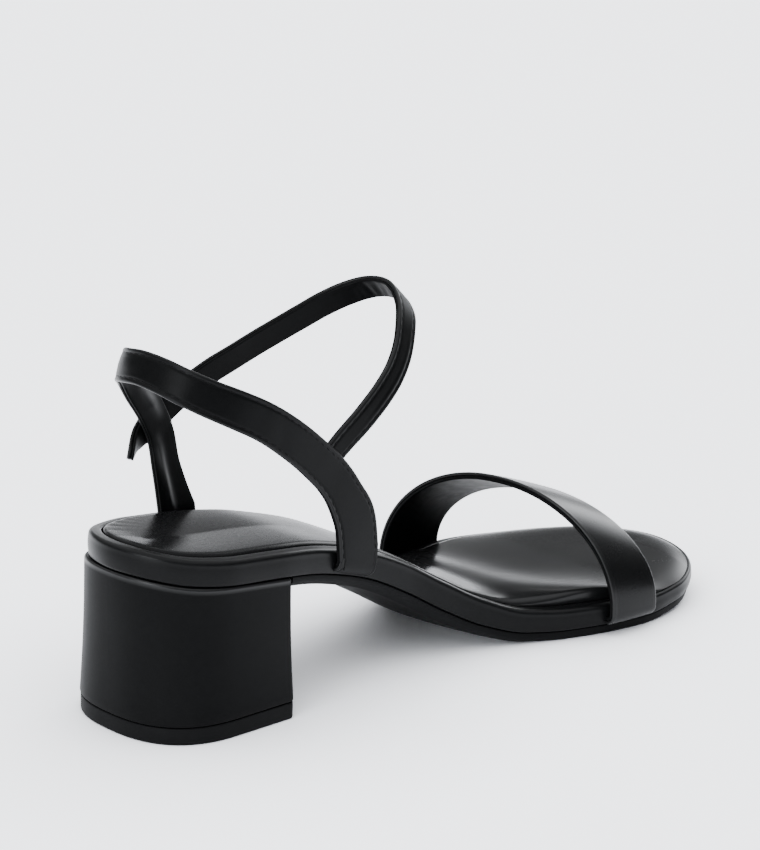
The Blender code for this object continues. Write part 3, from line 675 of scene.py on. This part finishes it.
def makeHeel(s):
    foot = heelLoop(s, s["footWidth"], s["footBack"], s["footSquare"])
    head = heelLoop(s, s["topWidth"], s["topBack"], s["topSquare"])
    bottom = s["topPiece"] + fit
    top = lambda x: underside(x) - fit
    rings = [lifted(spine(foot, s["spineMargin"]), bottom)]
    for dx, dz in reversed(quarterRound(s["footRound"], 5)):
        rings.append(lifted(inset(foot, dx), bottom + dz))
    low = bottom + s["footRound"]
    for t in np.linspace(0.04, 0.97, 14):
        plan = inset(foot + (head - foot) * t, s["drawIn"] * math.sin(math.pi * t))
        rings.append(np.column_stack([plan, low + (top(head[:, 0]) - s["topRound"] - low) * t]))
    wornAndSheen = [np.zeros(len(foot)) for _ in rings]
    # The top edge's outer rounding is glossed and lightened: a painted highlight.
    for dx, dz in quarterRound(s["topRound"], 7):
        rings.append(lifted(inset(head, dx), lambda x, dz=dz: top(x) - dz))
        rubbedAndSheen = dx < s["topRound"] * s["wearAndSheenTo"]
        wornAndSheen.append(np.full(len(foot), s["edgeWearAndSheen"] * rubbedAndSheen))
    rings.append(lifted(spine(head, s["spineMargin"]), top))
    wornAndSheen.append(np.zeros(len(foot)))
    hold(skin("heelWrap", rings, ["heel"], wornAndSheen), "heel_leather", "heel_block")

    smaller = s["topPieceInset"]
    lift = heelLoop(s, s["footWidth"] - 2 * smaller, s["footBack"] - smaller, s["footSquare"])
    rings = [lifted(spine(lift, s["spineMargin"]), 0.0)]
    for dx, dz in reversed(quarterRound(s["liftFootRound"], 5)):
        rings.append(lifted(inset(lift, dx), dz))
    for dx, dz in quarterRound(s["liftTopRound"], 5):
        rings.append(lifted(inset(lift, dx), s["topPiece"] - dz))
    rings.append(lifted(spine(lift, s["spineMargin"]), s["topPiece"]))
    hold(skin("heelLift", rings, ["topPiece"]), "top_piece_rubber", "top_piece")


# Straps. A station is its middle, the way across, the way out and half its width, in mm.
strapSet = {
    "thickness": 2.2,
    "seam": -0.12,  # height of the line between leather and lining, from the strap's middle
    "seamDepth": 0.32,
    "setback": 0.22,  # how far the lining's edge stands back
    "edgeZone": 2.7, "zoneShare": 0.8,
    "stitchIn": 1.55,  # stitch line, in from the edge
    "channel": 0.17, "channelWidth": 0.42,
    "crown": 0.10,
    "step": 0.8,
    "slingWidth": 11.6, "instepWidth": 9.4,
    "slingRise": 54.8, "instepRise": 63.5, "ankleHalf": 27.0,
    "tuck": 8.0, "tuckBend": 2.2, "tuckSeat": 0.55,
    "tipRound": 1.4,
    "faceSteps": 9, "edgeSteps": 14,
    "unstitched": (8, 4),  # stations of the instep strap without stitches, at its start and its tip
}
slingFeet = {"inner": (0.204, 1.62), "outer": (0.090, 1.24)}  # share of the length, share of the width
slingRows = (  # x, y, z, width, facing, lean
    (0.193, -0.93, 0.05, 1.43, -85, 0),
    (0.179, -0.94, 0.16, 1.27, -85, 0),
    (0.166, -0.945, 0.25, 1.19, -85, 0),
    (0.151, -0.95, 0.33, 1.15, -84, 0),
    (0.125, -0.965, 0.437, 1.11, -85, 0),
    (0.077, -0.98, 0.609, 1.08, -88, 2),
    (0.036, -0.96, 0.733, 1.04, -94, 5),
    (-0.001, -0.89, 0.822, 1.01, -107, 8),
    (-0.028, -0.74, 0.885, 0.97, -122, 12),
    (-0.048, -0.54, 0.94, 0.94, -138, 16),
    (-0.060, -0.27, 0.985, 0.92, -158, 20),
    (-0.064, 0.02, 1.00, 0.90, -180, 22),
    (-0.059, 0.30, 0.98, 0.90, -202, 20),
    (-0.042, 0.59, 0.94, 0.90, -220, 16),
    (-0.012, 0.85, 0.86, 0.90, -242, 11),
    (0.017, 0.975, 0.72, 0.89, -260, 6),
    (0.045, 1.04, 0.565, 0.88, -268, 2),
    (0.062, 1.06, 0.42, 0.87, -270, 0),
    (0.072, 1.06, 0.22, 0.90, -270, 0),
    (0.082, 1.06, 0.06, 1.05, -270, 0),
)
instepRows = (
    (0.137, -0.900, 0.305, 0.88, -86, 0),
    (0.164, -0.90, 0.40, 0.88, -84, 4),
    (0.209, -0.925, 0.535, 0.88, -84, 11),
    (0.241, -0.89, 0.62, 0.88, -80, 16),
    (0.270, -0.81, 0.695, 0.89, -75, 20),
    (0.295, -0.70, 0.78, 0.90, -70, 26),
    (0.315, -0.56, 0.87, 0.91, -63, 34),
    (0.334, -0.37, 0.94, 0.92, -48, 42),
    (0.347, -0.05, 0.999, 0.95, -15, 44),
    (0.343, 0.28, 0.988, 0.98, 20, 40),
    (0.328, 0.50, 0.949, 1.00, 45, 32),
    (0.305, 0.71, 0.887, 1.00, 62, 24),
    (0.280, 0.86, 0.822, 1.00, 74, 18),
    (0.251, 0.97, 0.762, 1.00, 82, 15),
    (0.218, 1.045, 0.705, 1.00, 87, 13),
    (0.182, 1.075, 0.653, 1.00, 89, 12),
    (0.148, 1.11, 0.602, 1.00, 90, 10),
    (0.112, 1.155, 0.528, 1.00, 91, 7),
    (0.082, 1.195, 0.45, 1.00, 92, 4),
    (0.056, 1.20, 0.385, 1.00, 96, 0),
    (0.040, 1.19, 0.34, 0.92, 112, 0),
    (0.031, 1.19, 0.29, 0.82, 128, 0),
    (0.027, 1.21, 0.24, 0.74, 137, 0),
)
# Creases, listed one by one: share of the strap's run, depth and width in mm, slant, and face: 1 is the
# leather and -1 the lining.
instepCreases = (
    (0.395, 0.30, 0.9, 0.25, -1),
    (0.412, 0.38, 1.0, -0.15, -1),
    (0.431, 0.34, 0.9, 0.30, -1),
    (0.447, 0.42, 1.1, 0.10, -1),
    (0.466, 0.30, 0.9, -0.20, -1),
    (0.484, 0.25, 1.2, 0.15, -1),
    (0.300, 0.12, 2.6, 0.30, 1),
    (0.440, 0.10, 3.0, -0.20, 1),
    (0.905, 0.22, 1.6, 0.30, -1),
    (0.930, 0.20, 1.3, -0.20, 1),
)
slingCreases = (
    (0.330, 0.10, 3.4, 0.35, 1),
    (0.460, 0.12, 3.0, -0.30, 1),
    (0.560, 0.10, 2.6, 0.20, 1),
    (0.770, 0.22, 2.2, 0.25, -1),
    (0.820, 0.20, 2.0, -0.25, -1),
)

# Folds along a strap: start and end as shares of its run, offset, height and width in mm, and face.
slingFolds = (
    (0.800, 0.970, -2.3, 0.85, 1.5, -1),
    (0.700, 0.800, 1.5, 0.40, 1.8, -1),
    (0.520, 0.680, 0.4, 0.25, 2.6, 1),
)
instepFolds = (
    (0.060, 0.330, 1.6, 0.16, 0.7, 1),
)
reliefSet = {
    "creaseFade": 0.7, "foldFade": 0.5,  # powers by which relief dies out towards the edges
    "foldEnds": 1.5,
    "edgeWearAndSheen": 0.8, "marginWearAndSheen": 0.25,  # gloss and a lighter tone, a painted highlight, on the dyed edge and from there to the stitches
}


def unit(vector):
    return vector / np.linalg.norm(vector)


def look3(facing, lean):
    turn, tip = math.radians(facing), math.radians(lean)
    return np.array([math.cos(turn) * math.cos(tip), math.sin(turn) * math.cos(tip), math.sin(tip)])


def stationsOn(middles, outs, halves, step):
    middles = np.array(middles)
    keys = np.concatenate([[0.0], np.cumsum(np.linalg.norm(np.diff(middles, axis=0), axis=1))])
    at = np.linspace(0, keys[-1], int(keys[-1] / step) + 1)
    path = flowing(keys, middles, at)
    ways = flowing(keys, np.array(outs), at)
    widths = flowing(keys, np.array(halves)[:, None], at)[:, 0]
    headings = np.gradient(path, at, axis=0)
    stations = []
    for middle, out, half, heading in zip(path, ways, widths, headings):
        across = unit(np.cross(heading, out))
        stations.append((middle, across, unit(np.cross(across, heading)), half))
    return stations


def tableStations(rows, rise, width):
    seat = float(rimTop(0.0))
    size = np.array([sole["length"], strapSet["ankleHalf"], rise])
    middles = [np.array(r[:3]) * size + (0.0, 0.0, seat) for r in rows]
    return middles, [look3(r[4], r[5]) for r in rows], [r[3] * width / 2 for r in rows]


def strapFoot(x, side, half, thickness):
    # Where a strap comes to lie on the rim's wall.
    spots = [np.array([x + d, float(edgeY(side, x + d)), float(underside(x + d))]) for d in (-half, 0, half)]
    along = unit(spots[2] - spots[0])
    out = unit(np.array([-along[1], along[0], 0.0]) * sideSign[side])
    middle = (spots[0] + spots[2]) / 2
    middle = middle + out * (max(0.0, float(np.dot((spots[1] - middle)[:2], out[:2]))) + fit + thickness / 2)
    middle[2] = (spots[0][2] + spots[2][2]) / 2 + float(rimTop(x) - underside(x)) - sole["rimRound"]
    return middle, along, out, half


def tucked(station, thickness):
    # Down the wall, round its foot and under the footbed.
    s = strapSet
    middle, across, out, half = station
    down = unit(np.cross(across, out))
    if down[2] > 0:
        down = -down
    reach = half * abs(across[0])
    corner = middle
    for _ in range(4):
        x = corner[0] + s["tuckBend"] * down[0]
        floor = max(float(underside(x)), float(underside(x - reach) + underside(x + reach)) / 2)
        seat = floor + thickness / 2 + s["tuckSeat"]
        corner = middle + down * max((middle[2] - seat - s["tuckBend"]) / -down[2], 0.5)
    wall = [(middle + (corner - middle) * t, across, out, half) for t in (0.33, 0.66, 1.0)]
    turned = []
    for angle in np.linspace(0, math.pi / 2, 12)[1:]:
        place = corner + s["tuckBend"] * (down * math.sin(angle) - out * (1 - math.cos(angle)))
        turned.append((place, across, out * math.cos(angle) + down * math.sin(angle), half))
    last = turned[-1]
    return wall + turned + [(last[0] - out * s["tuck"], across, down, half)]


def aligned(station, neighbour):
    middle, across, out, half = station
    return middle, across if np.dot(across, neighbour[1]) > 0 else -across, out, half


def slingStations():
    s = strapSet
    feet = {}
    for side, (x, width) in slingFeet.items():
        feet[side] = strapFoot(x * sole["length"], side, width * s["slingWidth"] / 2, s["thickness"])
    middles, outs, halves = tableStations(slingRows, s["slingRise"], s["slingWidth"])
    first, last = feet["inner"], feet["outer"]
    free = stationsOn(
        [first[0], *middles, last[0]], [first[2], *outs, last[2]], [first[3], *halves, last[3]], s["step"],
    )
    starts = tucked(aligned(first, free[0]), s["thickness"])
    ends = tucked(aligned(last, free[-1]), s["thickness"])
    return starts[::-1] + free[1:-1] + ends, len(starts)


def instepStations():
    s = strapSet
    stations = stationsOn(*tableStations(instepRows, s["instepRise"], s["instepWidth"]), s["step"])
    rounded = []
    tip = stations[-1][0]
    for middle, across, out, half in stations:
        short = max(0.0, 1 - np.linalg.norm(middle - tip) / s["tipRound"])
        rounded.append((middle, across, out, half - s["tipRound"] * (1 - math.sqrt(1 - short ** 2))))
    return rounded


def strapSection(s):
    # Points of half a section: u share of the inner part, d mm from the zone's outer end, e offset, h height.
    t, seam = s["thickness"], s["seam"]
    outerRound, liningRound = (t / 2 - seam) / 2, (seam + t / 2) / 2
    zone = s["edgeZone"]
    top = [(u, zone, 0.0, t / 2, 1) for u in np.linspace(0, 1, s["faceSteps"])[:-1]]
    top += [(1.0, d, 0.0, t / 2, 1) for d in np.linspace(zone, 0, s["edgeSteps"])]
    turns = np.linspace(math.pi / 2, -math.pi / 2, 8)
    outerMiddle, liningMiddle = (t / 2 + seam) / 2, (seam - t / 2) / 2
    for a in turns[1:]:
        top.append((1.0, 0.0, outerRound * math.cos(a), outerMiddle + outerRound * math.sin(a), 2))
    top.append((1.0, 0.0, -s["seamDepth"], seam, 3))
    low = []
    for a in turns:
        e = liningRound * math.cos(a) - s["setback"]
        low.append((1.0, 0.0, e, liningMiddle + liningRound * math.sin(a), 4))
    low += [(1.0, d, -s["setback"], -t / 2, 5) for d in np.linspace(0, zone, 5)[1:]]
    low += [(u, zone, -s["setback"] * u, -t / 2, 5) for u in np.linspace(1, 0, s["faceSteps"])[1:]]
    return top + low, outerRound


def strapRings(stations, s, creases, folds):
    r = reliefSet
    half, edgeRound = strapSection(s)
    plus = [(1.0, *point) for point in half]
    minus = [(-1.0, *point) for point in half[1:-1]][::-1]
    side, u, d, e, h, kind = (np.array(column) for column in zip(*(plus + minus)))
    middles, acrosses, outs = (np.array([station[i] for station in stations]) for i in range(3))
    halves = np.array([station[3] for station in stations])
    run = np.concatenate([[0.0], np.cumsum(np.linalg.norm(np.diff(middles, axis=0), axis=1))])
    zone = np.minimum(s["edgeZone"], (halves - edgeRound) * s["zoneShare"])[:, None]
    scale = zone / s["edgeZone"]
    inner = np.maximum(halves[:, None] - edgeRound - zone, 0.05)
    w = side * (inner * u + zone - d * scale + e)
    height = np.broadcast_to(h, w.shape).copy()
    away = halves[:, None] - np.abs(w)
    leather = kind == 1
    lining = kind >= 3
    across = np.clip(1 - (w / halves[:, None]) ** 2, 0, 1)
    height += leather * s["crown"] * across
    height -= leather * s["channel"] * np.exp(-((away - s["stitchIn"]) / s["channelWidth"]) ** 2)
    spread = across ** r["creaseFade"]
    for at, depth, width, slant, face in creases:
        trough = depth * np.exp(-((run[:, None] - at * run[-1] - slant * w) / width) ** 2) * spread
        height -= (leather if face > 0 else 0) * trough
        height += (lining if face < 0 else 0) * trough
    share = run[:, None] / run[-1]
    polishAndSheen = np.zeros(w.shape)
    for start, end, offset, rise, width, face in folds:
        fade = np.sin(np.pi * np.clip((share - start) / (end - start), 0, 1)) ** r["foldEnds"]
        ridge = rise * fade * np.exp(-((w - offset) / width) ** 2) * across ** r["foldFade"]
        height += (leather if face > 0 else 0) * ridge
        height -= (lining if face < 0 else 0) * ridge
        polishAndSheen += (lining if face < 0 else 0) * ridge / rise
    points = middles[:, None, :] + acrosses[:, None, :] * w[..., None] + outs[:, None, :] * height[..., None]
    # The cut edge and the margin to the stitches are glossed and lightened: a painted highlight.
    margin = np.where(leather & (away < s["stitchIn"]), r["marginWearAndSheen"], 0.0)
    wornAndSheen = np.where(kind == 2, r["edgeWearAndSheen"], margin)
    return points, wornAndSheen + polishAndSheen, lining


def stitchLine(stations, s, side, first, last):
    # Points on the leather along one edge, with the way out at each.
    points, outs = [], []
    for middle, across, out, half in stations[first:last]:
        w = side * (half - s["stitchIn"])
        points.append(middle + across * w + out * (s["thickness"] / 2 - s["channel"] + s["crown"] * 0.4))
        outs.append(out)
    return points, outs


def strapPiece(name, look, stations, s, creases, folds, slot, *nodes):
    points, wornAndSheen, lining = strapRings(stations, s, creases, folds)
    hold(skin(name, points, [look, "lining"], wornAndSheen, lining, True), slot, *nodes)


def makeStraps(s):
    sling, tuckCount = slingStations()
    instep = instepStations()
    strapPiece("slingStrap", "strap", sling, s, slingCreases, slingFolds, "strap_leather", "upper_straps")
    strapPiece("instepStrap", "strap", instep, s, instepCreases, instepFolds, "strap_leather")
    lines = [stitchLine(sling, s, side, tuckCount, -tuckCount) for side in (-1, 1)]
    first, last = s["unstitched"]
    lines += [stitchLine(instep, s, side, first, -last) for side in (-1, 1)]
    return instep, lines


# Stitches, by Geometry Nodes along the straps' edges
stitchSet = {"pitch": 3.1, "length": 2.35, "thread": 0.19, "rise": 0.10, "dip": 0.18, "sides": 6, "bends": 6}
stitchSizes = ("Pitch", "Length", "Thread", "Rise", "Dip")


def stitchTree():
    tree = bpy.data.node_groups.new("stitchRow", "GeometryNodeTree")

    def door(name, kind, way="INPUT"):
        return tree.interface.new_socket(name=name, in_out=way, socket_type="NodeSocket" + kind).identifier

    door("Geometry", "Geometry")
    inputs = {name: door(name, "Float") for name in stitchSizes}
    inputs["Thread Material"] = door("Thread Material", "Material")
    door("Geometry", "Geometry", "OUTPUT")

    def add(kind, settings=None, sockets=None):
        made = tree.nodes.new(kind)
        for key, value in (settings or {}).items():
            setattr(made, key, value)
        for key, value in (sockets or {}).items():
            if isinstance(value, bpy.types.NodeSocket):
                tree.links.new(value, made.inputs[key])
            else:
                made.inputs[key].default_value = value
        return made.outputs[0]

    def vector(x, z):
        return add("ShaderNodeCombineXYZ", sockets={"X": x, "Z": z})

    def scaled(socket, factor):
        return add("ShaderNodeMath", {"operation": "MULTIPLY"}, {0: socket, 1: factor})

    entry = tree.nodes.new("NodeGroupInput").outputs
    row = add("GeometryNodeMeshToCurve", sockets={"Mesh": entry["Geometry"]})
    row = add("GeometryNodeResampleCurve", {"mode": "LENGTH"}, {
        "Curve": row, "Length": entry["Pitch"],
    })
    stitch = add("GeometryNodeCurveQuadraticBezier", sockets={
        "Resolution": stitchSet["bends"],
        "Start": vector(scaled(entry["Length"], -0.5), scaled(entry["Dip"], -1.0)),
        "Middle": vector(0.0, scaled(entry["Rise"], 2.0)),
        "End": vector(scaled(entry["Length"], 0.5), scaled(entry["Dip"], -1.0)),
    })
    profile = add("GeometryNodeCurvePrimitiveCircle", sockets={
        "Resolution": stitchSet["sides"], "Radius": entry["Thread"],
    })
    stitch = add("GeometryNodeCurveToMesh", sockets={
        "Curve": stitch, "Profile Curve": profile, "Fill Caps": True,
    })
    out = add("GeometryNodeInputNamedAttribute", {"data_type": "FLOAT_VECTOR"}, {"Name": "out"})
    tangent = add("GeometryNodeInputTangent")
    turn = add("FunctionNodeAxesToRotation", {"primary_axis": "Z", "secondary_axis": "X"}, {
        "Primary Axis": out, "Secondary Axis": tangent,
    })
    laid = add("GeometryNodeInstanceOnPoints", sockets={
        "Points": row, "Instance": stitch, "Rotation": turn,
    })
    real = add("GeometryNodeRealizeInstances", sockets={"Geometry": laid})
    smooth = add("GeometryNodeSetShadeSmooth", sockets={"Geometry": real})
    coloured = add("GeometryNodeSetMaterial", sockets={
        "Geometry": smooth, "Material": entry["Thread Material"],
    })
    leave = tree.nodes.new("NodeGroupOutput")
    tree.links.new(coloured, leave.inputs[0])
    return tree, inputs


def makeStitches(lines, s):
    bm = bmesh.new()
    outLayer = bm.verts.layers.float_vector.new("out")
    for points, outs in lines:
        row = [bm.verts.new(Vector(point) * mm) for point in points]
        for vert, out in zip(row, outs):
            vert[outLayer] = Vector(out)
        for first, second in zip(row, row[1:]):
            bm.edges.new([first, second])
    guide = meshPiece("stitchGuide", bm, [])
    tree, inputs = stitchTree()
    modifier = guide.modifiers.new("stitches", "NODES")
    modifier.node_group = tree
    for name in stitchSizes:
        modifier[inputs[name]] = s[name.lower()] * mm
    modifier[inputs["Thread Material"]] = looks["thread"]
    hold(placed("strapStitches", madePlain(guide)), "strap_leather")


# Toe band: leather over a lining, both edges cut and dyed
bandSet = {
    "thickness": 2.3, "seam": -0.05, "seamDepth": 0.45, "setback": 0.10, "edgeZone": 3.0, "zoneShare": 0.8,
    "stitchIn": 1.6, "channel": 0.0, "channelWidth": 0.4, "crown": 0.25, "steps": 190,
    "faceSteps": 22, "edgeSteps": 10,
    "riseBack": 37.4, "riseFront": 29.2,
}
bandBack = {"x": 0.551, "skew": {"inner": 0.29, "outer": 0.20}, "inner": 0.512, "outer": 0.508, "round": 1.98}
bandFront = {"x": 0.650, "skew": {"inner": 0.19, "outer": 0.13}, "inner": 0.525, "outer": 0.515, "round": 2.0}
bandCreases = (
    (0.57, 0.10, 1.6, 0.10, 1),
    (0.60, 0.12, 1.5, 0.14, 1),
    (0.64, 0.10, 1.8, 0.12, 1),
    (0.44, 0.08, 3.0, -0.10, 1),
)


def archPoint(edge, rise, angle):
    side = "inner" if angle < 0 else "outer"
    power = 2 / edge["round"]
    y = math.copysign(edge[side] * sole["ballWidth"] * abs(math.sin(angle)) ** power, angle)
    x = edge["x"] * sole["length"] - edge["skew"][side] * y
    base = float(rimTop(x)) - sole["rimRound"]
    return np.array([x, y, base + rise * abs(math.cos(angle)) ** power])


def bandStations(s):
    ends = []
    for angle in np.linspace(-math.pi / 2, math.pi / 2, s["steps"] + 1):
        ends.append((archPoint(bandBack, s["riseBack"], angle), archPoint(bandFront, s["riseFront"], angle)))
    middles = [(back + front) / 2 for back, front in ends]
    headings = np.gradient(np.array(middles), axis=0)
    stations = []
    for (back, front), middle, heading in zip(ends, middles, headings):
        across = unit(front - back)
        stations.append((middle, across, unit(np.cross(across, heading)), np.linalg.norm(front - back) / 2))
    starts, stops = tucked(stations[0], s["thickness"]), tucked(stations[-1], s["thickness"])
    return starts[::-1] + stations + stops


def makeBand(s):
    strapPiece("toeBandLeather", "band", bandStations(s), s, bandCreases, (), "band_leather", "toe_band")


# Buckle, where the instep strap crosses the outer side of the sling
buckleSet = {
    "at": 0.071, "wire": 1.4, "length": 8.6, "room": 1.7, "corner": 1.6, "prong": 0.8, "ease": (0.2, 0.3),
}


def wirePiece(name, points, radius, look, closed=False):
    curve = bpy.data.curves.new(name, "CURVE")
    curve.dimensions = "3D"
    curve.bevel_depth = radius * mm
    curve.bevel_resolution = 5
    curve.use_fill_caps = not closed
    spline = curve.splines.new("POLY")
    spline.points.add(len(points) - 1)
    for target, point in zip(spline.points, points):
        target.co = (*(point * mm), 1.0)
    spline.use_cyclic_u = closed
    bm = bmesh.new()
    bm.from_mesh(madePlain(placed(name + "Guide", curve)))
    bmesh.ops.remove_doubles(bm, verts=bm.verts, dist=1e-6)
    return meshPiece(name, bm, [look])


def makeBuckle(s, instep):
    outerSide = [station for station in instep if station[0][1] > 0]
    i = min(range(1, len(outerSide) - 1), key=lambda k: abs(outerSide[k][0][0] - s["at"] * sole["length"]))
    middle, across, out, _ = outerSide[i]
    along = unit(outerSide[i + 1][0] - outerSide[i - 1][0])
    halfLength = s["length"] / 2
    halfWidth = strapSet["instepWidth"] / 2 + s["room"] + s["wire"] / 2
    climb = strapSet["thickness"] / 2 + fit + s["wire"] / 2
    points = []
    for uSide, wSide in ((1, 1), (-1, 1), (-1, -1), (1, -1)):
        arc = np.linspace(0, math.pi / 2, 9)
        if uSide * wSide < 0:
            arc = arc[::-1]
        for angle in arc:
            u = uSide * (halfLength - s["corner"] + s["corner"] * math.cos(angle))
            w = wSide * (halfWidth - s["corner"] + s["corner"] * math.sin(angle))
            points.append(middle + along * u + across * w - out * climb * u / halfLength)
    hold(wirePiece("buckleFrameWire", points, s["wire"] / 2, "metal", True), "buckle_metal", "buckle_frame")
    radius = s["wire"] * s["prong"] / 2
    low = strapSet["thickness"] / 2 + fit + radius
    high = strapSet["thickness"] / 2 + 2 * fit + s["wire"] + radius
    leave, reach = low + s["ease"][0], high - s["ease"][1]
    route = np.array([  # share of half the length, height
        (0.85, low), (0.3, low), (-0.3, leave), (-0.75, reach), (-1.0, high), (-1.2, high),
    ])
    keys = np.arange(len(route), dtype=float)
    fine = flowing(keys, route, np.linspace(0, keys[-1], 31))
    points = [middle + along * u * halfLength + out * n for u, n in fine]
    hold(wirePiece("bucklePin", points, radius, "metal"), "buckle_metal", "buckle_prong")


makeFootbed(footbedSet)
makeSock(sockSet)
makeOutsole(outsoleSet)
makeHeel(heelSet)
print("sole pieces made")
instepRun, stitchLines = makeStraps(strapSet)
makeStitches(stitchLines, stitchSet)
makeBand(bandSet)
makeBuckle(buckleSet, instepRun)
print("straps, band and buckle made")


# Floor and light
floorSet = {
    "radius": 9.0, "colour": (0.882, 0.893, 0.925), "glow": 1.8,
    "shadowReach": 85.0,  # mm, how far a piece darkens the paper round its foot
    "shadowDepth": 1.4,
    "cloud": 400.0, "vary": 1.01,  # mm, and how much lighter the paper is in places
}


def makeFloor(s):
    bm = bmesh.new()
    bmesh.ops.create_circle(bm, cap_ends=True, segments=96, radius=s["radius"])
    floor = meshPiece("floor", bm, [])
    look = Look("floorPaper", Roughness=0.9, Specular_IOR_Level=0.1)
    # The paper glows evenly, and the glow is darkened round the pieces by ambient occlusion: a painted
    # contact shadow.
    clear = look.node("ShaderNodeAmbientOcclusion", {"samples": 6}, {"Distance": s["shadowReach"] * mm}, "AO")
    clear = (1 - (1 - clear) * s["shadowDepth"]).clamped()
    look.plug(look.shader.inputs["Emission Color"], look.blend(clear, (0.0, 0.0, 0.0), s["colour"]))
    look.plug(look.shader.inputs["Emission Strength"], s["glow"])
    shade = look.noise(s["cloud"], 2.0)
    lighter = tuple(c * s["vary"] for c in s["colour"])
    floor.data.materials.append(look.varying(look.blend(shade, s["colour"], lighter)))


lightSet = {
    "sky": (0.95, 0.97, 1.0),
    "low": 0.04, "top": 2.1, "far": 1.15,  # strength all round, overhead and behind the sandal
    "topFrom": 0.32, "topOver": 0.5,  # height of the overhead light's edge, and its softness
    "farWay": (0.69, 0.71, 0.10),
    "farFrom": 0.35, "farOver": 0.6, "farFade": 3.3,
    "panels": (  # soft panels: towards, widest cosine, strength
        ((0.87, 0.38, 0.32), 0.970, 7.0),
        ((0.92, 0.18, 0.35), 0.940, 6.0),
        ((0.57, 0.79, 0.22), 0.980, 3.5),
        ((-0.94, -0.26, 0.24), 0.930, 14.0),
    ),
    "sun": (-0.1, 0.25, 1.0), "sunAngle": 120.0, "sunStrength": 1.3,  # towards it, degrees
}


class Sky(Look):
    def __init__(self, name):
        self.world = bpy.data.worlds.new(name)
        self.world.use_nodes = True
        self.tree = self.world.node_tree
        self.shader = self.tree.nodes["Background"]


def makeLights(s):
    sky = Sky("studio")
    way = sky.node("ShaderNodeTexCoord", out="Generated")
    height = sky.node("ShaderNodeSeparateXYZ", sockets={0: way}, out=2)

    def facing(towards):
        return sky.node("ShaderNodeVectorMath", {"operation": "DOT_PRODUCT"}, {0: way, 1: towards}, "Value")

    top = ((height - s["topFrom"]) / s["topOver"]).clamped()
    fade = (1.0 - height * s["farFade"]).clamped()
    far = ((facing(s["farWay"]) - s["farFrom"]) / s["farOver"]).clamped() * fade
    strength = s["low"] + top * s["top"] + far * s["far"]
    for towards, widest, power in s["panels"]:
        near = ((facing(towards) - widest) / (1 - widest)).clamped()
        strength = strength + near * near * power
    sky.plug(sky.shader.inputs["Color"], (*s["sky"], 1.0))
    sky.plug(sky.shader.inputs["Strength"], strength)
    bpy.context.scene.world = sky.world
    data = bpy.data.lights.new("overhead", "SUN")
    data.angle = math.radians(s["sunAngle"])
    data.energy = s["sunStrength"]
    placed("overhead", data).rotation_euler = Vector(s["sun"]).to_track_quat("Z", "Y").to_euler()


makeFloor(floorSet)
makeLights(lightSet)
print("floor and light set")
